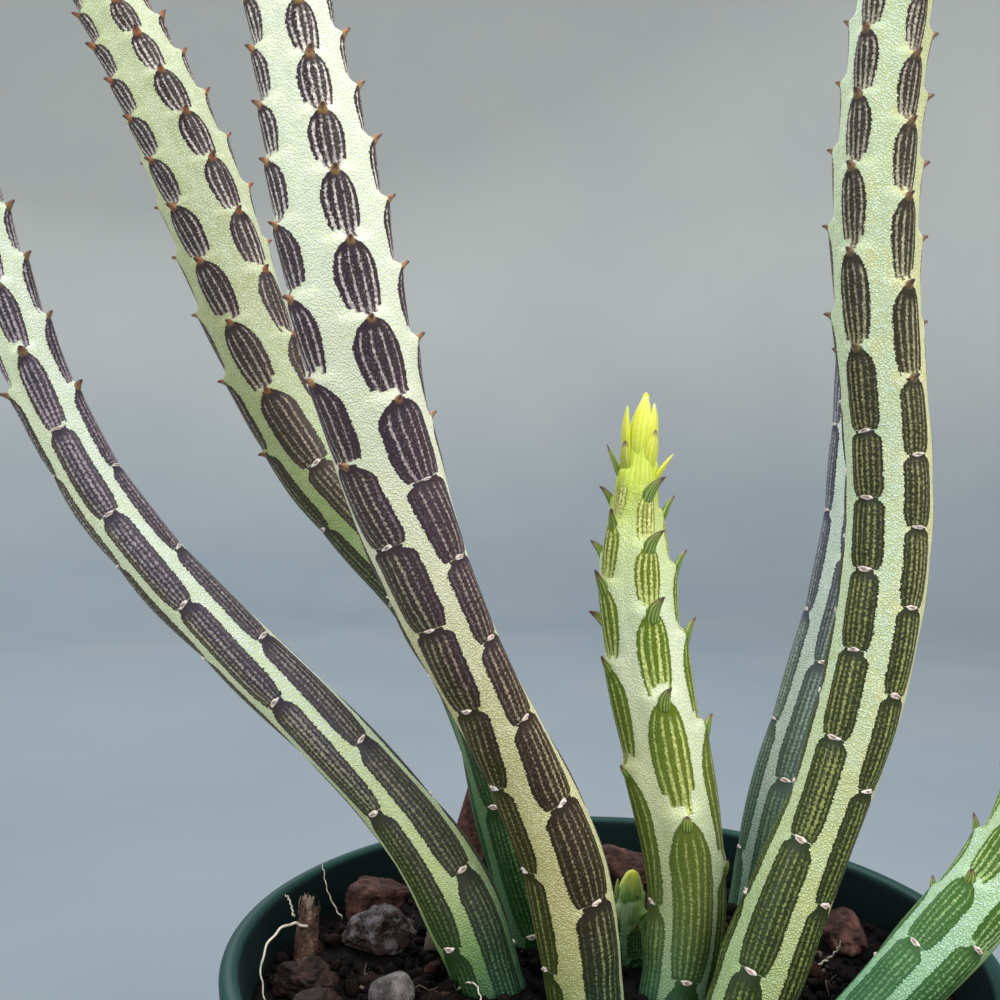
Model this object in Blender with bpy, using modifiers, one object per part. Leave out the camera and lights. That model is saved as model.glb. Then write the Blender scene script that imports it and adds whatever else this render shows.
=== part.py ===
"""Potted pickle plant: five-ribbed succulent stems standing in potting mix in a round plastic pot.

Units are metres and +Z is up. The origin is the middle of the flat base that the pot stands on.
"""

import math
from dataclasses import dataclass

import bmesh
import bpy
import numpy as np
from mathutils import Matrix, Vector, noise

# Driving dimensions of the pot
RIM_RADIUS = 0.0520
POT_HEIGHT = 0.0880
BASE_RADIUS = 0.0380
WALL = 0.0016
FLOOR = 0.0030
RIM_BAND_HEIGHT = 0.0085
RIM_BAND_WALL = 0.0026
POT_EDGE = 0.0006  # rounding of the rim and of the foot
DRAIN_HOLES = 6
DRAIN_RADIUS = 0.0040
DRAIN_CIRCLE = 0.0250
TURNED_STEPS = 48

# Driving dimensions of the potting mix
SOIL_TOP = 0.0810
SOIL_RINGS = 11
SOIL_LUMP = 0.0022
SOIL_LUMP_SPREAD = 0.0080
SOIL_EASE = 0.0060  # width over which the lumps die away round a stem or a seat
GAP = 0.0003

# Driving dimensions that all stems share
RIBS = 5
COLUMNS = 3 * RIBS  # a ridge and two flanks for each rib
COLUMN_STEP = math.radians(24)
LEAF_OFFSET = 0.4  # each rib's leaves stand this share of a spacing off its neighbour's
BURIED = 0.0080
COLLAR = 0.0022  # plain round stretch above the soil
HOLE_REACH = 0.0060
TUBERCLE = 0.0007  # how far a rib stands out under a leaf
FLANK_SHARE = 0.35
RIB_HOLLOW = 0.97
SCAR_SINK = 0.2  # share of a tubercle by which a leafless rib dips at its scar
FULL_LEAF = 0.0014  # leaf length from which the tubercle under it is full
SLENDER = 0.0040  # radius below which the tubercles shrink with the stem

# Rings within one leaf spacing: the leaf, the notch just above it and the swell below the next
LEAF_AT = 0.0
NOTCH_AT = 0.12
SWELL_AT = 0.60
NOTCH_RISE = -0.15
SWELL_RISE = 0.5
LEAF_OUT = 0.5  # how far a leaf's point reaches out and up, as shares of its length
LEAF_UP = 0.8

# Whorls of young leaves at a growing tip: (steps back, length share, lean, number)
CROWN_WHORLS = [(1.0, 0.9, 0.30, 3), (1.3, 0.75, 0.55, 4)]
CROWN_LEAF_WIDTH = 0.28
CROWN_START = 0.35
CROWN_ROOT = 0.55  # a crown leaf's root sits this share of the radius off the centre line

# Ends of a stem's rings, in leaf spacings except for the foot's taper
FOOT_TAPER = 0.2
RING_CLEAR = 0.05
TIP_CLEAR = 0.3
TIP_FADE = 1.7  # over this many spacings the ribs' leaves draw level towards the tip


@dataclass
class Stem:
    """One stem. Each knot list holds (share of the length above the soil, value)."""

    name: str
    route: list
    girth: list
    spacing: list
    turn: list
    first_leaf: float
    hand: int
    leaf: list
    crown: float
    colour: tuple


STEMS = [
    Stem(
        name="stem_tall_front",
        route=[
            (-0.003, -0.004, SOIL_TOP),
            (-0.006, -0.006, 0.098),
            (-0.013, -0.010, 0.115),
            (-0.022, -0.015, 0.134),
            (-0.028, -0.018, 0.152),
            (-0.033, -0.022, 0.171),
            (-0.0355, -0.024, 0.188),
            (-0.0385, -0.024, 0.206),
            (-0.041, -0.022, 0.222),
            (-0.042, -0.020, 0.240),
        ],
        girth=[
            (0, 0.0106),
            (0.3, 0.0102),
            (0.55, 0.0134),
            (0.67, 0.0126),
            (0.8, 0.0102),
            (0.92, 0.0076),
            (1, 0.0018),
        ],
        spacing=[(0, 0.0178), (0.25, 0.0116), (0.5, 0.0105), (0.75, 0.0058), (1, 0.0036)],
        turn=[(0, 25), (0.14, 25), (0.3, 62), (0.5, 38), (0.7, 12), (1, 4)],
        first_leaf=0.92,
        hand=-1,
        leaf=[(0.45, 0), (0.55, 0.0016), (1, 0.0022)],
        crown=0.0060,
        colour=(0.30, 0.27, 0.20),
    ),
    Stem(
        name="stem_tall_back",
        route=[
            (-0.009, 0.015, SOIL_TOP),
            (-0.013, 0.013, 0.099),
            (-0.017, 0.012, 0.114),
            (-0.026, 0.011, 0.132),
            (-0.041, 0.010, 0.152),
            (-0.051, 0.010, 0.173),
            (-0.058, 0.010, 0.192),
            (-0.067, 0.010, 0.212),
            (-0.075, 0.011, 0.227),
            (-0.082, 0.012, 0.241),
        ],
        girth=[
            (0, 0.0094),
            (0.25, 0.0099),
            (0.5, 0.0118),
            (0.75, 0.0120),
            (0.86, 0.0100),
            (0.94, 0.0075),
            (1, 0.0018),
        ],
        spacing=[(0, 0.0222), (0.25, 0.0171), (0.5, 0.0119), (0.75, 0.0068), (1, 0.0036)],
        turn=[(0, 70), (0.5, 0), (1, -80)],
        first_leaf=0.71,
        hand=-1,
        leaf=[(0.45, 0), (0.55, 0.0014), (1, 0.0022)],
        crown=0.0060,
        colour=(0.28, 0.27, 0.20),
    ),
    Stem(
        name="stem_left",
        route=[
            (-0.016, 0.000, SOIL_TOP),
            (-0.021, -0.001, 0.094),
            (-0.030, -0.003, 0.108),
            (-0.042, -0.004, 0.121),
            (-0.055, -0.005, 0.134),
            (-0.066, -0.006, 0.147),
            (-0.075, -0.007, 0.164),
            (-0.081, -0.009, 0.183),
            (-0.083, -0.010, 0.198),
        ],
        girth=[
            (0, 0.0096),
            (0.1, 0.0102),
            (0.3, 0.0092),
            (0.6, 0.0082),
            (0.85, 0.0076),
            (0.94, 0.0060),
            (1, 0.0018),
        ],
        spacing=[(0, 0.0251), (0.5, 0.0162), (0.75, 0.0105), (1, 0.0040)],
        turn=[(0, -36), (0.25, -25), (0.55, 5), (1, 20)],
        first_leaf=0.34,
        hand=1,
        leaf=[(0.68, 0), (0.75, 0.0014), (1, 0.0020)],
        crown=0.0055,
        colour=(0.20, 0.25, 0.17),
    ),
    Stem(
        name="young_shoot",
        route=[
            (0.0095, -0.0025, SOIL_TOP),
            (0.011, -0.002, 0.092),
            (0.009, -0.002, 0.109),
            (0.006, -0.002, 0.123),
            (0.004, -0.002, 0.139),
            (0.004, -0.002, 0.151),
            (0.005, -0.002, 0.1625),
        ],
        girth=[(0, 0.0098), (0.3, 0.0116), (0.5, 0.0114), (0.72, 0.0102), (0.86, 0.0076), (1, 0.0016)],
        spacing=[(0, 0.0270), (0.25, 0.0208), (0.5, 0.0146), (0.75, 0.0085), (1, 0.0040)],
        turn=[(0, 4), (0.6, 0), (0.8, 8), (1, 20)],
        first_leaf=0.11,
        hand=-1,
        leaf=[(0.18, 0), (0.3, 0.0018), (0.7, 0.0030), (1, 0.0032)],
        crown=0.0090,
        colour=(0.42, 0.55, 0.14),
    ),
    Stem(
        name="stem_right",
        route=[
            (0.0165, -0.012, SOIL_TOP),
            (0.022, -0.012, 0.096),
            (0.0285, -0.012, 0.1125),
            (0.0335, -0.012, 0.132),
            (0.035, -0.012, 0.149),
            (0.033, -0.013, 0.172),
            (0.033, -0.013, 0.192),
            (0.035, -0.013, 0.212),
            (0.038, -0.012, 0.236),
        ],
        girth=[(0, 0.0108), (0.4, 0.0106), (0.7, 0.0102), (0.86, 0.0088), (0.95, 0.0060), (1, 0.0018)],
        spacing=[(0, 0.0215), (0.25, 0.0121), (0.5, 0.0088), (0.75, 0.0090), (1, 0.0040)],
        turn=[(0, -30), (0.25, -43), (0.45, -50), (0.65, -22), (1, -20)],
        first_leaf=0.41,
        hand=-1,
        leaf=[(0.5, 0), (0.62, 0.0014), (1, 0.0020)],
        crown=0.0060,
        colour=(0.22, 0.28, 0.16),
    ),
    Stem(
        name="stem_back_right",
        route=[
            (0.028, 0.028, SOIL_TOP),
            (0.031, 0.027, 0.098),
            (0.037, 0.026, 0.119),
            (0.042, 0.024, 0.143),
            (0.044, 0.023, 0.170),
            (0.050, 0.023, 0.201),
        ],
        girth=[(0, 0.0092), (0.4, 0.0094), (0.75, 0.0088), (0.9, 0.0068), (1, 0.0016)],
        spacing=[(0, 0.0240), (0.5, 0.0166), (0.75, 0.0100), (1, 0.0040)],
        turn=[(0, -85), (1, -85)],
        first_leaf=0.38,
        hand=-1,
        leaf=[(0.65, 0), (0.75, 0.0014), (1, 0.0020)],
        crown=0.0055,
        colour=(0.21, 0.23, 0.22),
    ),
    Stem(
        name="side_shoot",
        route=[
            (0.0300, -0.0150, SOIL_TOP),
            (0.0365, -0.0150, 0.088),
            (0.0435, -0.0150, 0.096),
            (0.0500, -0.0155, 0.105),
            (0.0545, -0.0160, 0.116),
            (0.0565, -0.0165, 0.128),
        ],
        girth=[(0, 0.0088), (0.35, 0.0096), (0.7, 0.0086), (0.88, 0.0064), (1, 0.0016)],
        spacing=[(0, 0.0140), (0.5, 0.0095), (1, 0.0040)],
        turn=[(0, 10), (1, 25)],
        first_leaf=0.50,
        hand=1,
        leaf=[(0.3, 0), (0.5, 0.0016), (1, 0.0026)],
        crown=0.0065,
        colour=(0.33, 0.45, 0.25),
    ),
    Stem(
        name="bud_shoot",
        route=[
            (0.0045, 0.0070, SOIL_TOP),
            (0.0042, 0.0068, 0.087),
            (0.0048, 0.0062, 0.094),
        ],
        girth=[(0, 0.0052), (0.5, 0.0050), (0.85, 0.0032), (1, 0.0014)],
        spacing=[(0, 0.0050), (1, 0.0030)],
        turn=[(0, 15), (1, 15)],
        first_leaf=0.20,
        hand=1,
        leaf=[(0, 0), (0.3, 0.0010), (1, 0.0016)],
        crown=0.0040,
        colour=(0.35, 0.46, 0.25),
    ),
]

# Loose pieces on the potting mix: name, place (x, y), size (x, y, height), turn in degrees
BARK_CHIPS = [
    ("bark_chip_1", (-0.0340, 0.0230), (0.0110, 0.0080, 0.0052), 20),
    ("bark_chip_2", (-0.0330, 0.0110), (0.0120, 0.0085, 0.0060), -15),
    ("bark_chip_3", (-0.0380, -0.0130), (0.0100, 0.0070, 0.0046), 60),
    ("bark_chip_4", (0.0080, 0.0380), (0.0120, 0.0080, 0.0055), -10),
    ("bark_chip_5", (0.0375, 0.0120), (0.0105, 0.0070, 0.0046), 75),
    ("bark_chip_6", (-0.0180, -0.0300), (0.0125, 0.0085, 0.0056), 35),
    ("bark_chip_7", (0.0140, -0.0340), (0.0110, 0.0075, 0.0050), -40),
]
PEBBLES = [
    ("pebble_1", (-0.0290, -0.0070), (0.0062, 0.0052, 0.0040), 10),
    ("pebble_2", (-0.0235, 0.0100), (0.0050, 0.0044, 0.0034), 50),
    ("pebble_3", (-0.0030, -0.0250), (0.0056, 0.0048, 0.0036), -30),
    ("pebble_4", (0.0290, -0.0290), (0.0060, 0.0050, 0.0038), 15),
]
BARK_ROUGHNESS = 0.35
PEBBLE_ROUGHNESS = 0.15
LUMP_WAVES = 3.1
LUMP_SEED = 900
LUMP_SEAT = 0.28  # height of the flat seat under a loose piece's middle, as a share of its height
LOOSE_SEAT_MARGIN = 0.0035

# Splinters that stand in the potting mix: place, size (x, y, height) and lean in degrees
BARK_FLAKE_AT = (-0.0210, 0.0400)
BARK_FLAKE_SIZE = (0.0060, 0.0030, 0.0150)
BARK_FLAKE_LEAN = 12
TWIG_AT = (-0.0425, 0.0030)
TWIG_SIZE = (0.0032, 0.0032, 0.0110)
TWIG_LEAN = 6
STUB_SIDES = 8
STUB_DEPTH = 0.0060
BROKEN_TOP = 0.28

BARK_COLOUR = (0.16, 0.09, 0.07)
PEBBLE_COLOUR = (0.42, 0.40, 0.38)
POT_COLOUR = (0.018, 0.100, 0.080)
SOIL_COLOUR = (0.020, 0.013, 0.011)


def clear_scene():
    for obj in list(bpy.data.objects):
        bpy.data.objects.remove(obj, do_unlink=True)


def new_collection(name):
    collection = bpy.data.collections.new(name)
    bpy.context.scene.collection.children.link(collection)
    return collection


def make_material(name, colour, roughness):
    material = bpy.data.materials.new(name)
    material.use_nodes = True
    shader = material.node_tree.nodes["Principled BSDF"]
    shader.inputs["Base Color"].default_value = (*colour, 1.0)
    shader.inputs["Roughness"].default_value = roughness
    shader.inputs["Metallic"].default_value = 0.0
    return material


def add_object(name, mesh, collection, material=None):
    obj = bpy.data.objects.new(name, mesh)
    collection.objects.link(obj)
    if material:
        mesh.materials.append(material)
    return obj


def mesh_from_bmesh(name, shape):
    mesh = bpy.data.meshes.new(name)
    shape.to_mesh(mesh)
    shape.free()
    return mesh


def value_at(knots, share):
    """Value of a knot list at a share of the length."""
    shares, values = zip(*knots)
    return float(np.interp(share, shares, values))


# Turned pieces


def inner_radius(z):
    """Inside radius of the pot's tapered wall at a height."""
    top = RIM_RADIUS - RIM_BAND_WALL
    bottom = BASE_RADIUS - WALL
    return bottom + (top - bottom) * (z - FLOOR) / (POT_HEIGHT - FLOOR)


def turned(name, profile, collection, material):
    """Solid of revolution about Z, from a profile that runs down its outer side."""
    mesh = bpy.data.meshes.new(name)
    points = [(radius, 0.0, z) for radius, z in profile]
    edges = [(i, i + 1) for i in range(len(points) - 1)]
    mesh.from_pydata(points, edges, [])
    obj = add_object(name, mesh, collection, material)
    screw = obj.modifiers.new("Turn", "SCREW")
    screw.axis = "Z"
    screw.angle = math.tau
    screw.steps = TURNED_STEPS
    screw.render_steps = TURNED_STEPS
    screw.use_merge_vertices = True
    screw.merge_threshold = 0.00001
    screw.use_smooth_shade = True
    return obj


def evaluated_mesh(obj):
    graph = bpy.context.evaluated_depsgraph_get()
    return bpy.data.meshes.new_from_object(obj.evaluated_get(graph))


def cut_with(obj, cutters):
    for number, cutter in enumerate(cutters):
        boolean = obj.modifiers.new(f"Cut {number}", "BOOLEAN")
        boolean.operation = "DIFFERENCE"
        boolean.solver = "EXACT"
        boolean.object = cutter


def cylinder_cutter(name, foot, axis, radius, length, collection, sides=16):
    """Hidden cylinder that starts at foot and runs along axis."""
    shape = bmesh.new()
    bmesh.ops.create_cone(
        shape, cap_ends=True, segments=sides, radius1=radius, radius2=radius, depth=length
    )
    obj = add_object(name, mesh_from_bmesh(name, shape), collection)
    obj.rotation_mode = "QUATERNION"
    obj.rotation_quaternion = axis.to_track_quat("Z", "Y")
    obj.location = foot + axis * (length / 2)
    obj.hide_render = True
    obj.display_type = "WIRE"
    return obj


def make_pot(parts, cutters):
    """Tapered pot with a thicker band below its rounded rim, and drain holes in its floor."""
    band_foot = POT_HEIGHT - RIM_BAND_HEIGHT
    outer_top = inner_radius(band_foot) + WALL
    profile = [
        (0.0, FLOOR),
        (inner_radius(FLOOR), FLOOR),
        (inner_radius(POT_HEIGHT - 2 * POT_EDGE), POT_HEIGHT - 2 * POT_EDGE),
        (RIM_RADIUS - RIM_BAND_WALL + POT_EDGE, POT_HEIGHT - POT_EDGE / 4),
        (RIM_RADIUS - RIM_BAND_WALL / 2, POT_HEIGHT),
        (RIM_RADIUS - POT_EDGE, POT_HEIGHT - POT_EDGE / 4),
        (RIM_RADIUS, POT_HEIGHT - 2 * POT_EDGE),
        (RIM_RADIUS - POT_EDGE / 2, band_foot + POT_EDGE),
        (RIM_RADIUS - 2 * POT_EDGE, band_foot),
        (outer_top, band_foot - POT_EDGE),
        (BASE_RADIUS + POT_EDGE, 3 * POT_EDGE),
        (BASE_RADIUS - POT_EDGE, 0.0),
        (0.0, 0.0),
    ]
    pot = turned("pot", profile, parts, make_material("pot_plastic", POT_COLOUR, 0.45))
    drains = []
    for number in range(DRAIN_HOLES):
        angle = math.tau * (number + 0.5) / DRAIN_HOLES
        foot = Vector((DRAIN_CIRCLE * math.cos(angle), DRAIN_CIRCLE * math.sin(angle), -FLOOR))
        drains.append(
            cylinder_cutter(f"drain_{number}", foot, Vector((0, 0, 1)), DRAIN_RADIUS, 3 * FLOOR, cutters)
        )
    cut_with(pot, drains)


# Stems


class StemPath:
    """Smooth centre line of a stem, with its girth, leaf count and rib angle along it."""

    SAMPLES = 400

    def __init__(self, stem):
        self.stem = stem
        points = np.array(stem.route)
        knots = np.r_[0, np.cumsum(np.linalg.norm(np.diff(points, axis=0), axis=1))]
        places = np.linspace(0, knots[-1], self.SAMPLES)
        self.centres = natural_spline(knots, points, places)
        steps = np.linalg.norm(np.diff(self.centres, axis=0), axis=1)
        self.lengths = np.r_[0, np.cumsum(steps)]
        self.length = float(self.lengths[-1])
        shares = self.lengths / self.length
        spacing = np.interp(shares, *zip(*stem.spacing))
        rate = (1 / spacing[1:] + 1 / spacing[:-1]) / 2
        self.counts = np.r_[0, np.cumsum(np.diff(self.lengths) * rate)]
        self.tangents = np.gradient(self.centres, axis=0)
        self.tangents /= np.linalg.norm(self.tangents, axis=1)[:, None]
        self.axis = Vector(self.tangents[0])
        lean = self.axis.angle(Vector((0, 0, 1)))
        self.collar = COLLAR + self.radius(0) * math.tan(lean)

    def along(self, table, distance):
        return Vector([np.interp(distance, self.lengths, table[:, k]) for k in range(3)])

    def centre(self, distance):
        """Point of the centre line, carried on straight below the soil."""
        if distance < 0:
            return Vector(self.centres[0]) + self.axis * distance
        return self.along(self.centres, distance)

    def frame(self, distance):
        """Front (towards -Y) and right-hand directions square to the centre line."""
        tangent = self.along(self.tangents, distance).normalized()
        front = Vector((0, -1, 0))
        front = (front - tangent * front.dot(tangent)).normalized()
        return tangent, front, front.cross(tangent) * -1

    def distance_at(self, count):
        return float(np.interp(count, self.counts, self.lengths))

    def radius(self, distance):
        return value_at(self.stem.girth, distance / self.length) / 2

    def turn(self, distance):
        return math.radians(value_at(self.stem.turn, distance / self.length))

    def leaf(self, distance):
        return value_at([(-1, 0)] + self.stem.leaf, distance / self.length)


def natural_spline(knots, points, places):
    """Natural cubic spline through points, read at places along the knots."""
    gaps = np.diff(knots)
    size = len(knots)
    matrix = np.eye(size)
    slopes = np.zeros_like(points)
    for i in range(1, size - 1):
        matrix[i, i - 1 : i + 2] = gaps[i - 1], 2 * (gaps[i - 1] + gaps[i]), gaps[i]
        before = (points[i] - points[i - 1]) / gaps[i - 1]
        after = (points[i + 1] - points[i]) / gaps[i]
        slopes[i] = 6 * (after - before)
    bends = np.linalg.solve(matrix, slopes)
    at = np.clip(np.searchsorted(knots, places) - 1, 0, size - 2)
    gap = gaps[at][:, None]
    left = (knots[at + 1] - places)[:, None]
    right = (places - knots[at])[:, None]
    return (
        bends[at] * left**3 / (6 * gap)
        + bends[at + 1] * right**3 / (6 * gap)
        + (points[at] / gap - bends[at] * gap / 6) * left
        + (points[at + 1] / gap - bends[at + 1] * gap / 6) * right
    )


def leaf_offset(rib, hand):
    """Height of a rib's leaves over the first rib's, in spacings, kept within half a spacing."""
    offset = hand * LEAF_OFFSET * rib
    return offset - round(offset)


def relief(phase, leafiness):
    """Height of a rib over the stem's own radius: it swells up to each leaf and drops behind it."""
    if phase == LEAF_AT:
        return TUBERCLE * (leafiness - SCAR_SINK * (1 - leafiness))
    if phase == NOTCH_AT:
        return TUBERCLE * NOTCH_RISE
    return TUBERCLE * SWELL_RISE


def round_ring(path, distance, radius):
    """Plain ring of points, for the foot of a stem."""
    _, front, side = path.frame(distance)
    ring = []
    for column in range(COLUMNS):
        angle = path.turn(0) + COLUMN_STEP * column
        ring.append(path.centre(distance) + radius * (front * math.cos(angle) + side * math.sin(angle)))
    return ring


def ribbed_ring(path, count, phase, fade):
    """Ring of points at one phase of the leaves, each rib at its own leaf's height."""
    ring = []
    for column in range(COLUMNS):
        rib = (column + 1) // 3
        on_ridge = column % 3 == 0
        distance = path.distance_at(count + fade * leaf_offset(rib % RIBS, path.stem.hand))
        tangent, front, side = path.frame(distance)
        leaf = path.leaf(distance)
        radius = path.radius(distance)
        rise = relief(phase, min(1.0, leaf / FULL_LEAF)) * min(1.0, radius / SLENDER)
        if on_ridge:
            radius += rise
        else:
            radius = radius * RIB_HOLLOW + rise * FLANK_SHARE
        angle = path.turn(distance) + COLUMN_STEP * column
        out = front * math.cos(angle) + side * math.sin(angle)
        point = path.centre(distance) + radius * out
        if on_ridge and phase == LEAF_AT:
            point += leaf * (LEAF_OUT * out + LEAF_UP * tangent)
        ring.append(point)
    return ring


def stem_mesh(path):
    """Closed loft: a plain round foot, then rings at the notch, swell and leaf of every spacing."""
    foot = path.radius(0) * RIB_HOLLOW
    rings = [
        round_ring(path, -BURIED, foot * (1 - FOOT_TAPER)),
        round_ring(path, -BURIED * (1 - FOOT_TAPER), foot),
        round_ring(path, path.collar, foot),
    ]
    lowest = float(np.interp(path.collar, path.lengths, path.counts)) + LEAF_OFFSET + RING_CLEAR
    highest = path.counts[-1] - TIP_CLEAR
    count = math.floor(lowest - path.stem.first_leaf) + path.stem.first_leaf
    while count < highest:
        for phase in (LEAF_AT, NOTCH_AT, SWELL_AT):
            level = count + phase
            fade = min(1.0, max(0.0, (path.counts[-1] - level) / TIP_FADE))
            if lowest < level < highest:
                rings.append(ribbed_ring(path, level, phase, fade))
        count += 1
    tip = path.centre(path.length)
    points = [point for ring in rings for point in ring] + [tip]
    faces = [tuple(reversed(range(COLUMNS)))]
    for row in range(len(rings) - 1):
        for column in range(COLUMNS):
            a = row * COLUMNS + column
            b = row * COLUMNS + (column + 1) % COLUMNS
            faces.append((a, b, b + COLUMNS, a + COLUMNS))
    last = (len(rings) - 1) * COLUMNS
    for column in range(COLUMNS):
        faces.append((last + column, last + (column + 1) % COLUMNS, len(points) - 1))
    mesh = bpy.data.meshes.new(path.stem.name)
    mesh.from_pydata(points, [], faces)
    shape = bmesh.new()
    shape.from_mesh(mesh)
    bmesh.ops.triangulate(shape, faces=[face for face in shape.faces if len(face.verts) == 4])
    bmesh.ops.recalc_face_normals(shape, faces=shape.faces)
    shape.to_mesh(mesh)
    shape.free()
    return mesh


def crown_leaf(name, foot, direction, width, length, collection):
    """Slim pointed leaf, four-sided and tapering, with its root sunk in the tip."""
    shape = bmesh.new()
    bmesh.ops.create_cone(
        shape, cap_ends=True, segments=4, radius1=width / 2, radius2=width / 12, depth=length
    )
    obj = add_object(name, mesh_from_bmesh(name, shape), collection)
    turn = direction.to_track_quat("Z", "Y").to_matrix().to_4x4()
    obj.matrix_world = Matrix.Translation(foot + direction * (length / 2)) @ turn


def crown_leaves(path, collection):
    """Whorls of young leaves round the growing tip."""
    crown = path.stem.crown
    width = crown * CROWN_LEAF_WIDTH
    for whorl, (back, share, lean, number) in enumerate(CROWN_WHORLS):
        distance = path.length - crown * back
        tangent, front, side = path.frame(distance)
        for leaf in range(number):
            angle = math.tau * (leaf + CROWN_START + whorl / 2) / number
            out = front * math.cos(angle) + side * math.sin(angle)
            foot = path.centre(distance) + out * (path.radius(distance) * CROWN_ROOT)
            direction = (tangent + out * lean).normalized()
            crown_leaf(f"crown_{whorl}_{leaf}", foot, direction, width, crown * share, collection)


def union_with(obj, leaves_collection):
    """Joins the collection's shapes into the object for good, and removes them."""
    boolean = obj.modifiers.new("Join", "BOOLEAN")
    boolean.operation = "UNION"
    boolean.operand_type = "COLLECTION"
    boolean.collection = leaves_collection
    boolean.solver = "EXACT"
    bpy.context.view_layer.update()
    joined = evaluated_mesh(obj)
    obj.modifiers.remove(boolean)
    obj.data = joined
    for leaf in list(leaves_collection.objects):
        bpy.data.objects.remove(leaf, do_unlink=True)


def make_stem(stem, parts, leaves_collection):
    path = StemPath(stem)
    material = make_material(f"{stem.name}_skin", stem.colour, 0.55)
    obj = add_object(stem.name, stem_mesh(path), parts, material)
    crown_leaves(path, leaves_collection)
    union_with(obj, leaves_collection)
    obj.data.shade_smooth()
    obj.data.set_sharp_from_angle(angle=math.radians(40))
    return path


# Potting mix and what lies on it


def clear_of(x, y, places):
    """0 on a seat or at a stem, rising to 1 well away from all of them."""
    share = 1.0
    for (px, py), reach in places:
        away = math.hypot(x - px, y - py) - reach
        share = min(share, max(0.0, away / SOIL_EASE))
    return share


def make_soil(paths, parts, cutters, loose):
    """Potting mix that fills the pot, lumpy on top, with a plain hole for each stem and splinter."""
    rim = inner_radius(SOIL_TOP) - GAP
    bottom = FLOOR + GAP
    profile = [(rim * ring / SOIL_RINGS, SOIL_TOP) for ring in range(SOIL_RINGS + 1)]
    profile += [(inner_radius(bottom) - GAP, bottom), (0.0, bottom)]
    soil = turned("soil", profile, parts, make_material("potting_mix", SOIL_COLOUR, 0.95))
    mesh = evaluated_mesh(soil)
    soil.modifiers.clear()
    soil.data = mesh
    flat = [(path.stem.route[0][:2], path.radius(0) + LOOSE_SEAT_MARGIN) for path in paths]
    flat += [(place, max(size[:2]) / 2 + LOOSE_SEAT_MARGIN) for _, place, size, _ in loose]
    flat += [(BARK_FLAKE_AT, 2 * LOOSE_SEAT_MARGIN), (TWIG_AT, 2 * LOOSE_SEAT_MARGIN)]
    for vertex in mesh.vertices:
        x, y, z = vertex.co
        if z < SOIL_TOP - GAP or math.hypot(x, y) > rim - GAP:
            continue
        height = noise.noise(Vector((x, y, 0.0)) / SOIL_LUMP_SPREAD)
        vertex.co.z = SOIL_TOP + SOIL_LUMP * height * clear_of(x, y, flat)
    holes = []
    for path in paths:
        radius = path.radius(0) * RIB_HOLLOW + GAP
        foot = path.centre(-BURIED - GAP)
        length = BURIED + path.collar + HOLE_REACH
        holes.append(cylinder_cutter(f"hole_{path.stem.name}", foot, path.axis, radius, length, cutters))
    for name, place, size in (
        ("bark_flake", BARK_FLAKE_AT, BARK_FLAKE_SIZE),
        ("twig", TWIG_AT, TWIG_SIZE),
    ):
        radius = min(size) / 2 + GAP
        foot = Vector((*place, SOIL_TOP - STUB_DEPTH - GAP))
        length = STUB_DEPTH + HOLE_REACH
        holes.append(cylinder_cutter(f"hole_{name}", foot, Vector((0, 0, 1)), radius, length, cutters))
    cut_with(soil, holes)


def make_lump(name, place, size, turn, roughness, parts, material):
    """Rough rounded piece with a flat underside that rests on the potting mix."""
    shape = bmesh.new()
    bmesh.ops.create_icosphere(shape, subdivisions=2, radius=0.5)
    seed = Vector((place[0], place[1], size[2])) * LUMP_SEED
    for vertex in shape.verts:
        vertex.co *= 1 + roughness * noise.noise(vertex.co * LUMP_WAVES + seed)
        vertex.co.z = max(vertex.co.z, -LUMP_SEAT)
    floor = min(vertex.co.z for vertex in shape.verts)
    for vertex in shape.verts:
        vertex.co.z -= floor
    bmesh.ops.scale(shape, vec=Vector(size), verts=shape.verts)
    bmesh.ops.rotate(shape, matrix=Matrix.Rotation(math.radians(turn), 3, "Z"), verts=shape.verts)
    obj = add_object(name, mesh_from_bmesh(name, shape), parts, material)
    obj.location = (*place, SOIL_TOP + GAP)
    obj.data.shade_smooth()


def make_stub(name, place, size, lean, parts, material):
    """Upright splinter with a plain round foot in the potting mix and a skewed broken top."""
    width, depth, height = size
    foot = min(size) / 2
    shape = bmesh.new()
    bmesh.ops.create_cone(
        shape, cap_ends=True, segments=STUB_SIDES, radius1=foot, radius2=foot, depth=STUB_DEPTH
    )
    top_ring = [vertex for vertex in shape.verts if vertex.co.z > 0]
    top_face = next(face for face in shape.faces if all(vertex in top_ring for vertex in face.verts))
    upper = bmesh.ops.extrude_face_region(shape, geom=[top_face])["geom"]
    bmesh.ops.delete(shape, geom=[top_face], context="FACES_ONLY")
    for vertex in upper:
        if isinstance(vertex, bmesh.types.BMVert):
            rise = height * (1 - BROKEN_TOP * (vertex.co.x + foot) / (2 * foot))
            vertex.co.x = vertex.co.x * width / (2 * foot) + rise * math.tan(math.radians(lean))
            vertex.co.y = vertex.co.y * depth / (2 * foot)
            vertex.co.z += rise
    bmesh.ops.recalc_face_normals(shape, faces=shape.faces)
    obj = add_object(name, mesh_from_bmesh(name, shape), parts, material)
    obj.location = (*place, SOIL_TOP - STUB_DEPTH / 2)


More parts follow.
